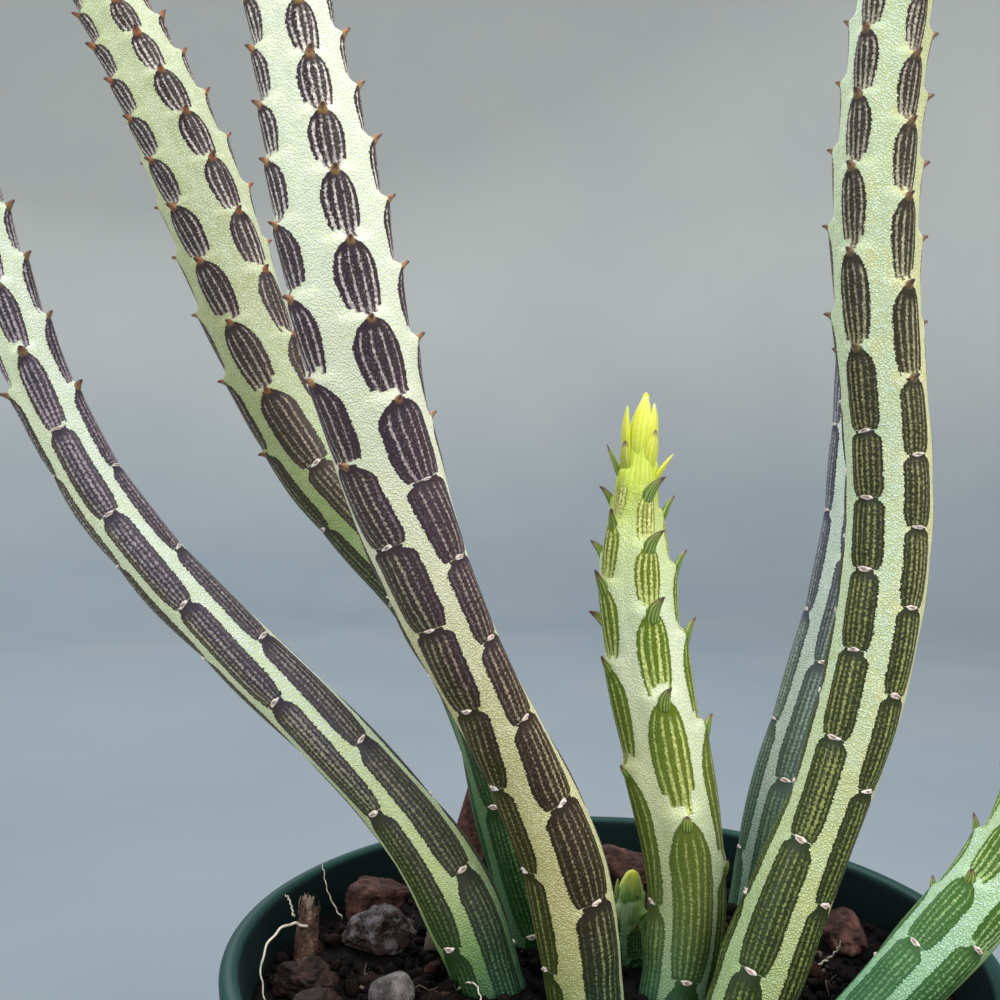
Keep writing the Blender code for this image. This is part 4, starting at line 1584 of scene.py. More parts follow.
# From the front of the photographed side to its back
STEMS = [
    Stem(
        name="stem_tall_front",
        route=[
            (-3, -4, 81), (-5.6, -6, 98), (-12.3, -10, 115), (-21.4, -15, 134), (-27.8, -18, 152),
            (-32.4, -22, 171), (-35.4, -24, 188), (-39, -24, 206), (-41.6, -22, 222),
            (-42.2, -20, 240),
        ],
        girth=[
            (0, 10.8), (0.08, 11.5), (0.13, 11.2), (0.2, 10.1), (0.28, 9.7), (0.36, 11.0),
            (0.44, 12.6), (0.55, 13.5), (0.64, 13.1), (0.7, 11.8), (0.76, 9.8), (0.92, 7.4),
            (0.96, 4.4), (1, 1.0),
        ],
        spacing=[(0, 17.8), (0.25, 11.6), (0.5, 10.5), (0.6, 8.4), (0.69, 6.3), (0.8, 5.9), (1, 3.6)],
        turn=[
            (0, 19), (0.13, 20), (0.2, 24), (0.27, 46), (0.34, 55), (0.4, 51), (0.46, 36),
            (0.55, 25), (0.65, 19), (1, 20),
        ],
        splay=[(0, 24), (0.2, 22), (0.27, 10), (0.34, 7), (0.5, 7), (0.6, 0)],
        first_leaf=0.92,
        hand=-1,
        leaf=[(0.45, 0), (0.55, 1.6), (1, 2.2)],
        crown=Crown(7.6, 30.0),
        skin=TALL_FRONT_SKIN,
        leaves=TAN_SCALES,
        marks=[(0, 0.36), (0.3, 0.38), (0.48, 0.37), (0.56, 0.32), (0.66, 0.275), (1, 0.255)],
        seed=11,
    ),
    Stem(
        name="stem_tall_back",
        route=[
            (-9, 15, 81), (-13, 13, 99), (-16.5, 12, 114), (-25, 11, 132), (-40.6, 10, 152),
            (-51, 10, 173), (-58, 10, 192), (-67, 10, 212), (-75, 11, 227), (-82, 12, 241),
        ],
        girth=[
            (0, 9.4), (0.25, 9.9), (0.5, 11.8), (0.7, 12.6), (0.78, 11.6), (0.86, 9.8), (0.93, 7.5),
            (0.96, 4.4), (1, 1.0),
        ],
        spacing=[(0, 22.2), (0.25, 17.1), (0.5, 11.9), (0.75, 6.8), (1, 3.6)],
        turn=[(0, 70), (0.5, 0), (1, -80)],
        first_leaf=0.71,
        hand=-1,
        leaf=[(0.45, 0), (0.55, 1.4), (1, 2.2)],
        crown=Crown(7.6, -70.0),
        skin=TALL_BACK_SKIN,
        leaves=RUST_SCALES,
        marks=[(0, 0.37), (0.48, 0.36), (0.58, 0.31), (0.7, 0.275), (1, 0.255)],
        seed=12,
    ),
    Stem(
        name="stem_left",
        route=[
            (-16, 0, 81), (-21, -1, 94), (-30, -3, 108), (-42, -4, 121), (-55, -5, 134),
            (-66, -6, 147), (-75, -7, 164), (-81, -9, 183), (-83, -10, 198),
        ],
        girth=[
            (0, 9.8), (0.08, 10.9), (0.15, 10.0), (0.24, 8.7), (0.34, 8.9), (0.6, 8.2), (0.85, 7.6),
            (0.93, 5.8), (0.96, 3.8), (1, 1.0),
        ],
        spacing=[(0, 25.1), (0.5, 16.2), (0.75, 10.5), (1, 4.0)],
        turn=[(0, -36), (0.25, -25), (0.55, 5), (1, 20)],
        first_leaf=0.34,
        hand=1,
        leaf=[(0.68, 0), (0.75, 1.4), (1, 2.0)],
        crown=Crown(6.6, 100.0),
        skin=LEFT_SKIN,
        leaves=MIXED_SCALES,
        marks=[(0, 0.38), (0.6, 0.37), (0.75, 0.32), (1, 0.26)],
        seed=13,
    ),
    Stem(
        name="young_shoot",
        route=[
            (9.5, -2.5, 81), (11, -2, 92), (9, -2, 109), (6, -2, 123), (4, -2, 139), (4.2, -2, 151),
            (5.4, -2, 162.5),
        ],
        girth=[
            (0, 9.8), (0.3, 11.6), (0.5, 11.4), (0.7, 10.2), (0.75, 8.9), (0.79, 7.2), (0.83, 6.1),
            (0.87, 5.5), (0.9, 3.9), (0.94, 2.8), (1, 0.8),
        ],
        spacing=[(0, 27.0), (0.25, 20.8), (0.5, 13.6), (0.75, 7.7), (1, 4.6)],
        turn=[(0, 3), (0.4, 3), (0.6, 9), (0.72, 12), (0.83, 21), (1, 24)],
        first_leaf=0.11,
        hand=-1,
        leaf=[(0.18, 0), (0.3, 1.8), (0.7, 3.0), (1, 3.2)],
        crown=Crown(wander=0.0),
        skin=YOUNG_SKIN,
        leaves=GREEN_SCALES,
        slot=Slot.YOUNG,
        marks=[(0, 0.44), (0.3, 0.42), (0.5, 0.37), (0.62, 0.34), (0.7, 0.30), (1, 0.27)],
        blade=[(0.18, 0.5), (0.34, 0.7), (0.45, 1.6), (0.62, 2.2), (0.7, 2.4), (0.8, 2.5), (1, 2.5)],
        blade_width=[(0.18, 1.5), (0.45, 1.7), (0.62, 2.0), (0.7, 2.1), (0.8, 2.0), (1, 1.9)],
        blade_depth=1.0,
        blade_shape=BladeShape.SCALE,
        lean=0.64,
        aside=0.55,
        seat=1.2,
        seed=14,
    ),
    Stem(
        name="stem_right",
        route=[
            (16.5, -12, 81), (22, -12, 96), (28.5, -12, 112.5), (33.5, -12, 132), (35, -12, 149),
            (33, -13, 172), (33, -13, 192), (35, -13, 212), (38, -12, 236),
        ],
        girth=[
            (0, 10.8), (0.1, 10.6), (0.18, 9.5), (0.27, 10.3), (0.4, 10.6), (0.7, 10.2), (0.86, 8.8),
            (0.93, 6.6), (0.96, 4.2), (1, 1.0),
        ],
        spacing=[
            (0, 21.5), (0.25, 12.1), (0.42, 9.4), (0.49, 8.4), (0.55, 11.2), (0.62, 11.4),
            (0.7, 9.2), (1, 4.6),
        ],
        turn=[(0, -30), (0.25, -43), (0.45, -50), (1, -51)],
        first_leaf=0.41,
        hand=-1,
        leaf=[(0.5, 0), (0.62, 1.4), (1, 2.0)],
        crown=Crown(7.2, 160.0),
        skin=RIGHT_SKIN,
        leaves=MIXED_SCALES,
        marks=[(0, 0.36), (0.3, 0.34), (0.55, 0.31), (0.7, 0.28), (1, 0.26)],
        scar_size=1.5,
        seed=15,
    ),
    Stem(
        name="stem_back_right",
        route=[
            (28, 28, 81), (31, 27, 98), (37, 26, 119), (42, 24, 143), (44, 23, 170), (50, 23, 201),
        ],
        girth=[(0, 9.2), (0.4, 9.4), (0.75, 8.8), (0.9, 6.2), (0.95, 3.8), (1, 1.0)],
        spacing=[(0, 24.0), (0.5, 16.6), (0.75, 10.0), (1, 4.0)],
        turn=[(0, -85), (1, -85)],
        first_leaf=0.38,
        hand=-1,
        leaf=[(0.65, 0), (0.75, 1.4), (1, 2.0)],
        crown=Crown(6.6, -140.0),
        skin=BACK_RIGHT_SKIN,
        leaves=MIXED_SCALES,
        seed=16,
    ),
    Stem(
        name="side_shoot",
        route=[
            (30, -15, 81), (36.5, -15, 88), (43.5, -15, 96), (50, -15.5, 105), (54.5, -16, 116),
            (56.5, -16.5, 128),
        ],
        girth=[(0, 8.8), (0.35, 9.6), (0.68, 8.4), (0.8, 6.4), (0.9, 3.4), (1, 0.8)],
        spacing=[(0, 14.0), (0.5, 9.5), (1, 4.0)],
        turn=[(0, 10), (1, 25)],
        first_leaf=0.50,
        hand=1,
        leaf=[(0.3, 0), (0.5, 1.6), (1, 2.6)],
        crown=Crown(7.0, 40.0, hue=0.03),
        skin=SIDE_SKIN,
        leaves=GREEN_SCALES,
        slot=Slot.YOUNG,
        marks=[(0, 0.40), (0.5, 0.34), (1, 0.28)],
        blade=[(0.3, 1.2), (0.6, 2.0), (1, 2.4)],
        blade_width=[(0.3, 1.4), (0.6, 1.8), (1, 1.8)],
        blade_depth=0.9,
        blade_shape=BladeShape.SCALE,
        lean=0.6,
        seed=17,
    ),
    Stem(
        name="bud_shoot",
        route=[(4.5, 7, 81), (4.2, 6.8, 87), (4.8, 6.2, 94)],
        girth=[(0, 5.2), (0.5, 5.0), (0.85, 3.2), (1, 1.4)],
        spacing=[(0, 5.0), (1, 3.0)],
        turn=[(0, 15), (1, 15)],
        first_leaf=0.20,
        hand=1,
        leaf=[(0, 0), (0.3, 1.0), (1, 1.6)],
        crown=Crown(5.0, -20.0, girth=1.3, clear=11.0),
        skin=SIDE_SKIN,
        leaves=SHOOT_SCALES,
        slot=Slot.YOUNG,
        blade=[(0, 1.2), (1, 1.6)],
        blade_width=[(0, 1.4), (1, 1.4)],
        blade_shape=BladeShape.SCALE,
        lean=0.5,
        seed=18,
    ),
]


# Pot


@dataclass(frozen=True)
class PlasticFinish:
    """Satin green plastic, a little dusty and scuffed, with painted shade that darkens its inside wall to
    near black.
    """

    body: str = "#16433e"
    deep: str = "#0f3030"
    dust: str = "#4e5e5e"
    # Near black: painted shade on the inside wall, which is the same plastic as the outside.
    inside: str = "#021012"

    def material(self, name: str, rim_height: float) -> Material:
        """Builds the plastic.

        Args:
            name: The material's name.
            rim_height: Height of the rim, in metres.

        Returns:
            The material.
        """
        g = Graph(name)
        cloud = g.noise(9.0, 3.0)
        streak = g.noise(1.0, 3.0, g.stretched(1 / (1.6 * MM), 1 / (1.6 * MM), 1 / (14 * MM)))
        speck = g.noise(0.5, 3.0, roughness=0.6)
        height = g.axis(2) * (1 / rim_height)
        colour = g.mix(cloud, self.deep, self.body)
        dusty = speck.smooth(0.58, 0.78) * 0.22 + streak.smooth(0.55, 0.85) * 0.10
        dusty = dusty + (height.smooth(0.18, 0.0)) * 0.18
        colour = g.mix(dusty, colour, self.dust)
        x, y = g.axis(0), g.axis(1)
        radius = (x * x + y * y) ** 0.5 * (1 / MM)
        inside_foot = PotShell.base_radius - PotShell.wall
        flare = PotShell.rim_radius - PotShell.band_wall - inside_foot
        # Painted shade: the inside wall below the rim is mixed almost fully into the near-black colour,
        # and made rougher.
        inner = (radius - height * flare - inside_foot).smooth(0.7, 0.1) * height.smooth(0.999, 0.990)
        colour = g.mix(inner * 0.92, colour, self.inside)
        g.bump(g.noise(0.35, 3.0, roughness=0.6) * 0.6 + streak * 0.4, 0.05)
        roughness = cloud.between(0.38, 0.48) + speck * 0.08 + inner * 0.4
        return g.dress(colour, roughness, Specular_IOR_Level=0.16)


@dataclass
class PotShell:
    """Tapered pot with a thicker band below its rounded rim, and drain holes in its floor."""

    rim_radius: float = 52.0
    height: float = 88.0
    base_radius: float = 38.0
    wall: float = 1.6
    floor: float = 3.0
    band_height: float = 8.5
    band_wall: float = 2.6
    edge: float = 0.6
    corner: float = 1.5
    rim_rounding: float = 1.1
    drains: int = 6
    drain_radius: float = 4.0
    drain_circle: float = 25.0
    steps: int = 192
    foot_recess: float = 1.2
    foot_ring: float = 3.2

    def inner_radius(self, z: float) -> float:
        """Works out the inside radius of the tapered wall.

        Args:
            z: Height in millimetres.

        Returns:
            The radius in millimetres.
        """
        top = self.rim_radius - self.band_wall
        bottom = self.base_radius - self.wall
        return bottom + (top - bottom) * (z - self.floor) / (self.height - self.floor)

    def arc(self, centre: Pair, size: Pair, turns: Pair) -> list[Array]:
        """Points of a rounded edge, as (radius, height), between two angles in degrees."""
        angles = np.radians(np.linspace(*turns, 9))
        return list(np.array(centre) + np.array(size) * np.stack([np.cos(angles), np.sin(angles)], -1))

    def profile(self) -> list[Array]:
        """Draws the profile from the middle of the inside floor over the rim to the middle underneath.

        Returns:
            Its points as (radius, height).
        """
        lip = self.band_wall / 2
        band_foot = self.height - self.band_height
        inner_foot = self.inner_radius(self.floor)
        outer_top = self.inner_radius(band_foot) + self.wall
        points = [np.array([0.0, self.floor])]
        corner = (self.corner, self.corner)
        points += self.arc((inner_foot - self.corner, self.floor + self.corner), corner, (-90, -4))
        for z in np.linspace(self.floor + 6, self.height - lip, 9):
            points.append(np.array([self.inner_radius(z), z]))
        rounding = self.rim_rounding
        points += self.arc((self.rim_radius - lip, self.height - rounding), (lip, rounding), (170, 4))
        points += self.arc((self.rim_radius - rounding, band_foot + 0.9), (0.7, 0.7), (-8, -86))
        below_band = [(outer_top + 0.35, band_foot + 0.15), (outer_top, band_foot - 0.5)]
        points += [np.array(point) for point in below_band]
        for z in np.linspace(band_foot - 8, 8, 7):
            share = (z - 1.8) / (band_foot - self.edge - 1.8)
            radius = self.base_radius + self.edge + share * (outer_top - self.base_radius - self.edge)
            points.append(np.array([radius, z]))
        points += self.arc((self.base_radius - 0.9, self.corner), corner, (8, -90))
        ring = self.base_radius - self.foot_ring
        underside = [(ring, 0.0), (ring - 0.7, self.foot_recess), (0.0, self.foot_recess)]
        return points + [np.array(point) for point in underside]

    def build(self, finish: PlasticFinish) -> list[Piece]:
        """Builds the pot.

        Args:
            finish: The plastic.

        Returns:
            Its piece.
        """
        profile = np.array(self.profile()) * MM
        angle = circle(self.steps)
        wave = 1 + 0.0012 * np.sin(2 * angle + 0.7) + 0.0006 * np.sin(5 * angle)
        rings = turned_ring(profile[1:-1, 0], profile[1:-1, 1], angle, wave)
        points = np.concatenate([rings, [[0, 0, profile[0, 1]]], [[0, 0, profile[-1, 1]]]])
        rows = len(profile) - 2
        faces = grid_faces(rows, self.steps)[:, ::-1].tolist()
        faces += fan_faces(np.arange(self.steps), len(points) - 2).tolist()
        last = (rows - 1) * self.steps + np.arange(self.steps)
        faces += fan_faces(last, len(points) - 1, False).tolist()
        material = finish.material("pot_plastic_shell", self.height * MM)
        pot = make_piece("pot_shell", points, faces, {}, material)
        self.drill(pot)
        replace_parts(pot, "pot")
        return [pot]

    def drill(self, pot: Piece) -> None:
        """Cuts the drain holes.

        Args:
            pot: The pot's piece.
        """
        cutters = []
        for number in range(self.drains):
            angle = math.tau * (number + 0.5) / self.drains
            shape = bmesh.new()
            radius, depth = self.drain_radius * MM, 4 * self.floor * MM
            bmesh.ops.create_cone(
                shape, cap_ends=True, segments=40, radius1=radius, radius2=radius, depth=depth
            )
            mesh = bpy.data.meshes.new(f"drain_{number}")
            shape.to_mesh(mesh)
            shape.free()
            cutter = bpy.data.objects.new(f"drain_{number}", mesh)
            circle = self.drain_circle * MM
            cutter.location = (circle * math.cos(angle), circle * math.sin(angle), self.floor * MM / 2)
            bpy.context.scene.collection.objects.link(cutter)
            cut = pot.modifiers.new(f"drain_{number}", "BOOLEAN")
            cut.operation = "DIFFERENCE"
            cut.object = cutter
            cutters.append(cutter)
        bpy.context.view_layer.update()
        evaluated = pot.evaluated_get(bpy.context.evaluated_depsgraph_get())
        drilled = bpy.data.meshes.new_from_object(evaluated)
        pot.modifiers.clear()
        pot.data = drilled
        drilled.set_sharp_from_angle(angle=math.radians(38))
        for cutter in cutters:
            bpy.data.objects.remove(cutter, do_unlink=True)


# Potting mix


@dataclass(frozen=True)
class MixFinish:
    """Dark, damp, crumbly potting mix."""

    black: str = "#030202"
    brown: str = "#170e0b"
    rust: str = "#54362f"
    pale: str = "#a08e7c"

    def material(self, name: str) -> Material:
        """Builds the potting mix.

        Args:
            name: The material's name.

        Returns:
            The material.
        """
        g = Graph(name)
        tone, kind = g.layer("crumb")
        grain = g.noise(0.45, 4.0, roughness=0.65)
        patch = g.noise(5.0, 2.0)
        colour = g.mix(grain.smooth(0.42, 0.72) * 0.75, self.black, self.brown)
        colour = g.mix(patch.smooth(0.5, 0.75) * 0.35, colour, "#140c0a")
        crumb = g.mix(grain.smooth(0.3, 0.7), self.brown, self.rust)
        colour = g.mix(tone.smooth(0.35, 1.0) * 0.9, colour, crumb)
        colour = g.mix(kind, colour, self.pale)
        colour = g.mix(g.noise(0.3, 2.0).smooth(0.69, 0.75) * 0.55, colour, "#8a7a6c")
        g.bump(grain, 0.40)
        return g.dress(colour, g.noise(1.2).between(0.74, 0.98), Specular_IOR_Level=0.12)


@dataclass
class PottingMix:
    """Potting mix that fills the pot, with a hole for each stem and splinter, crumbs and fibres."""

    pot: PotShell
    top: float = 81.0
    gap: float = 0.3
    lump: float = 2.2
    lump_spread: float = 8.0
    ease_width: float = 6.0
    seat_margin: float = 3.5
    cells: int = 164
    crumbs: int = 2050
    big_crumbs: int = 85
    fibres: int = 150
    seed: int = 5

    def __post_init__(self) -> None:
        """Works out where stems, splinters and loose pieces stand."""
        self.random = np.random.default_rng(self.seed)
        self.rim = self.pot.inner_radius(self.top) - self.gap
        self.holes = []
        for stem in STEMS:
            radius = float(stem.path.radii[0]) / MM * GROWTH.rib_hollow + self.gap
            self.holes.append((np.array(stem.route[0]), stem.path.axis, radius))
        upright = np.array([0.0, 0.0, 1.0])
        for stub in STUBS:
            radius = min(stub.size[:2]) / 2 + self.gap
            self.holes.append((np.array([*stub.place, self.top]), upright, radius))
        self.seats = [(np.array(lump.place), max(lump.size[:2]) / 2) for lump in LUMPS]

    def calm(self, x: Array, y: Array) -> Array:
        """How free the surface is to be lumpy.

        Args:
            x: Places across.
            y: Places front to back.

        Returns:
            0 on a seat or at a hole, 1 well away from them all.
        """
        free = np.ones_like(x)
        for place, reach in [(centre, radius) for centre, _, radius in self.holes] + self.seats:
            away = np.hypot(x - place[0], y - place[1]) - reach - self.seat_margin
            free = np.minimum(free, np.clip(away / self.ease_width, 0, 1))
        return free

    def height(self, x: Array, y: Array) -> Array:
        """Height of the surface, in millimetres.

        Args:
            x: Places across.
            y: Places front to back.

        Returns:
            Heights.
        """
        free = self.calm(x, y)
        flat = np.stack([x, y, np.zeros_like(x)], -1).reshape(-1, 3) * MM
        broad = rough(flat, self.lump_spread).reshape(x.shape)
        fine = rough(flat, 2.6, 4.0, 4).reshape(x.shape)
        edge = np.clip((self.rim - np.hypot(x, y)) / 2, 0, 1)
        grain = (0.55 * fine - 0.15) * (0.35 + 0.65 * free) * (0.2 + 0.8 * edge)
        return self.top + self.lump * broad * free + grain

    def disc(self) -> tuple[Array, Array]:
        """Square grid of points pulled into a disc, so that its outline is round.

        Returns:
            Places across and front to back, in millimetres.
        """
        side = np.linspace(-1, 1, self.cells + 1)
        a, b = np.meshgrid(side, side, indexing="ij")
        reach = np.maximum(abs(a), abs(b))
        length = np.hypot(a, b)
        scale = np.where(length > 0, reach / np.maximum(length, 1e-9), 1)
        keep = ease(reach, 0.55, 1.0)
        scale = scale * keep + (1 - keep) * (0.5 * scale + 0.5 * 0.9)
        return a * scale * self.rim, b * scale * self.rim

    def sink(self, x: Array, y: Array, z: Array) -> tuple[Array, Array, Array]:
        """Opens the holes: points on their edges are drawn to round outlines, and those inside drop.

        Args:
            x: Places across.
            y: Places front to back.
            z: Heights.

        Returns:
            The moved points.
        """
        snap = 2 * self.rim / self.cells * 0.62
        for centre, axis, radius in self.holes:
            away = np.stack([x, y, np.full_like(x, self.top)], -1) - centre
            across = away - (away @ axis)[..., None] * axis
            distance = np.linalg.norm(across, axis=-1)
            edge = abs(distance - radius) < snap
            inside = (distance < radius) & ~edge
            push = np.where(edge, (radius - distance) / np.maximum(distance, 1e-6), 0)
            x = x + across[..., 0] * push
            y = y + across[..., 1] * push
            z = np.where(edge | inside, self.top - 0.1, z)
            depth = GROWTH.buried + 2 * self.gap
            x = np.where(inside, x - axis[0] / axis[2] * depth, x)
            y = np.where(inside, y - axis[1] / axis[2] * depth, y)
            z = np.where(inside, z - depth, z)
        return x, y, z

    def surface(self, sheet: Sheet) -> None:
        """Adds the mix's top, its side against the pot and its underside.

        Args:
            sheet: The mesh that is being gathered.
        """
        x, y = self.disc()
        x, y, z = self.sink(x, y, self.height(x, y))
        size = self.cells + 1
        points = np.stack([x, y, z], -1).reshape(-1, 3)
        faces = grid_faces(size, size, closed=False)[:, ::-1]
        index = np.arange(size * size).reshape(size, size)
        border = np.concatenate([index[:-1, 0], index[-1, :-1], index[:0:-1, -1], index[0, :0:-1]])
        rings = [points]
        walls = []
        upper = border
        total = len(points)
        bottom = self.pot.floor + self.gap
        for depth in (0.12, 0.5, 1.0):
            level = self.top + (bottom - self.top) * depth
            radius = self.pot.inner_radius(level) - self.gap
            ring = points[border].copy()
            ring[:, :2] *= (radius / np.linalg.norm(ring[:, :2], axis=1))[:, None]
            ring[:, 2] = level
            lower = total + np.arange(len(border))
            walls.append(np.stack([upper, lower, np.roll(lower, -1), np.roll(upper, -1)], -1))
            rings.append(ring)
            upper = lower
            total += len(border)
        rings.append(np.array([[0.0, 0.0, bottom]]))
        floor = fan_faces(upper, total, False)
        every = np.concatenate(rings) * MM
        sheet.add(every, faces, *walls, floor, crumb=np.zeros((len(every), 2)))

    def free_place(self, margin: float) -> tuple[float, float]:
        """Random place on the mix that is clear of stems and splinters.

        Args:
            margin: Distance to keep from them and from the pot.

        Returns:
            Place across and front to back.
        """
        while True:
            radius = (self.rim - margin - 0.4) * math.sqrt(self.random.uniform())
            angle = self.random.uniform(0, math.tau)
            x, y = radius * math.cos(angle), radius * math.sin(angle)
            clear = min(math.hypot(x - c[0], y - c[1]) - r for c, _, r in self.holes)
            seats = min(math.hypot(x - p[0], y - p[1]) - r for p, r in self.seats)
            if clear > margin + 0.5 and seats > margin * 0.4:
                return x, y

    def scatter(self, sheet: Sheet) -> None:
        """Adds the crumbs.

        Args:
            sheet: The mesh that is being gathered.
        """
        balls = {level: ball(level) for level in (1, 2)}
        for number in range(self.crumbs):
            big = number < self.big_crumbs
            size = self.random.uniform(1.9, 3.8) if big else self.random.uniform(0.45, 1.9) ** 1.25
            x, y = self.free_place(size * 0.55)
            shape, faces = balls[2 if size > 0.9 else 1]
            apart = Vector((number, 0, 0))
            lumpy = 1 + 0.5 * np.array([noise.noise(Vector(row * 1.7) + apart) for row in shape])
            stretch = self.random.uniform(0.55, 1.15, 3) * size / 2
            points = shape * lumpy[:, None] * stretch
            points = points @ turn_matrix(self.random).T
            z = float(self.height(np.array([[x]]), np.array([[y]]))[0, 0])
            low = points[:, 2].min()
            points = points + np.array([x, y, z - low * 0.45])
            tone = self.random.uniform(0.35, 1.0) if big else float(self.random.beta(1.1, 3.2))
            kind = 0.75 * self.random.uniform() if self.random.uniform() < 0.02 else 0.0
            sheet.add(points * MM, faces, crumb=np.tile([tone, kind], (len(points), 1)))

    def tangle(self, sheet: Sheet) -> None:
        """Adds fine fibres that lie on the mix.

        Args:
            sheet: The mesh that is being gathered.
        """
        for _ in range(self.fibres):
            x, y = self.free_place(3.2)
            length = self.random.uniform(2.0, 6.0)
            heading = self.random.uniform(0, math.tau)
            curl = self.random.uniform(-0.5, 0.5)
            q = np.linspace(-0.5, 0.5, 9)
            bend = heading + curl * 4 * q
            step = np.stack([np.cos(bend), np.sin(bend), np.zeros_like(q)], -1) * length / 8
            route = np.array([x, y, 0.0]) + np.cumsum(step, axis=0) - step.sum(axis=0) / 2
            lift = self.random.uniform(0.1, 0.9)
            route[:, 2] = self.height(route[:, 0], route[:, 1]) + lift + 0.5 * np.sin(9 * q + curl)
            radii = 0.085 * np.sqrt(np.clip(1 - (2 * q) ** 2, 0.05, 1))
            points, faces = tube(route, radii, 5)
            tone, kind = self.random.uniform(0.5, 1.0), self.random.uniform(0.0, 0.45)
            sheet.add(points * MM, faces, crumb=np.tile([tone, kind], (len(points), 1)))

    def build(self, finish: MixFinish) -> list[Piece]:
        """Builds the potting mix and its crumbs.

        Args:
            finish: The mix's finish.

        Returns:
            The pieces.
        """
        material = finish.material("potting_mix_crumbly")
        bed = Sheet()
        self.surface(bed)
        filling = bed.piece("potting_mix", material, Slot.MIX)
        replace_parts(filling, "soil")
        bits = Sheet()
        self.scatter(bits)
        self.tangle(bits)
        return [filling, bits.piece("mix_crumbs", material, Slot.MIX)]


def ball(level: int) -> tuple[Array, Array]:
    """Points and triangles of a ball of radius 1.

    Args:
        level: How finely it is divided.

    Returns:
        Its points and its faces.
    """
    shape = bmesh.new()
    bmesh.ops.create_icosphere(shape, subdivisions=level, radius=1.0)
    points = np.array([vertex.co[:] for vertex in shape.verts])
    faces = np.array([[vertex.index for vertex in face.verts] for face in shape.faces])
    shape.free()
    return points, faces


def turn_matrix(random: np.random.Generator) -> Array:
    """Random rotation.

    Args:
        random: Source of the random numbers.

    Returns:
        A matrix of three rows.
    """
    q = unit(random.normal(size=4))
    w, x, y, z = q
    return np.array(
        [
            [1 - 2 * (y * y + z * z), 2 * (x * y - w * z), 2 * (x * z + w * y)],
            [2 * (x * y + w * z), 1 - 2 * (x * x + z * z), 2 * (y * z - w * x)],
            [2 * (x * z - w * y), 2 * (y * z + w * x), 1 - 2 * (x * x + y * y)],
        ]
    )


# Loose pieces on the mix


@dataclass(frozen=True)
class BarkFinish:
    """Fibrous bark, with pale crust where old tissue shows, which leans towards upward-facing faces as a
    painted highlight.
    """

    dark: str = "#2c1c17"
    body: str = "#54382e"
    red: str = "#7c5348"
    crust: str = "#b9b6ba"
    crusting: float = 0.1

    def material(self, name: str) -> Material:
        """Builds the bark.

        Args:
            name: The material's name.

        Returns:
            The material.
        """
        g = Graph(name)
        grain = g.stretched(1 / (2.2 * MM), 1 / (0.5 * MM), 1 / (0.6 * MM))
        fibre = g.noise(1.0, 4.0, grain, roughness=0.62)
        patch = g.noise(2.4, 3.0)
        fine = g.noise(0.4, 3.0, roughness=0.65)
        colour = g.mix(fibre.smooth(0.36, 0.62), self.dark, self.body)
        colour = g.mix(patch.smooth(0.45, 0.68) * fine.between(0.4, 1.0), colour, self.red)
        # Partly painted highlight: faces that point up get more of the pale crust.
        tone = patch * 0.5 + fine * 0.5 + g.facing((0, -0.2, 0.98)) * 0.10
        crust = (tone + self.crusting - 0.1).smooth(0.59, 0.70)
        colour = g.mix(crust * (0.25 + self.crusting), colour, self.crust)
        g.bump(fibre * 0.6 + fine * 0.5, 0.45)
        return g.dress(colour, g.noise(1.4).between(0.7, 0.95), Specular_IOR_Level=0.3)


@dataclass(frozen=True)
class StoneFinish:
    """Small speckled stones."""

    body: str = "#423b3a"
    pale: str = "#706868"
    dark: str = "#262020"

    def material(self, name: str) -> Material:
        """Builds the stone.

        Args:
            name: The material's name.

        Returns:
            The material.
        """
        g = Graph(name)
        broad = g.noise(1.8, 3.0)
        speck = g.noise(0.35, 3.0, roughness=0.7)
        colour = g.mix(broad.smooth(0.35, 0.65), self.body, self.pale)
        colour = g.mix(speck.smooth(0.55, 0.72) * 0.8, colour, self.dark)
        colour = g.mix(speck.smooth(0.42, 0.30) * 0.6, colour, "#b4acaa")
        g.bump(speck * 0.6 + broad * 0.4, 0.25)
        return g.dress(colour, g.noise(0.9).between(0.5, 0.85), Specular_IOR_Level=0.4)


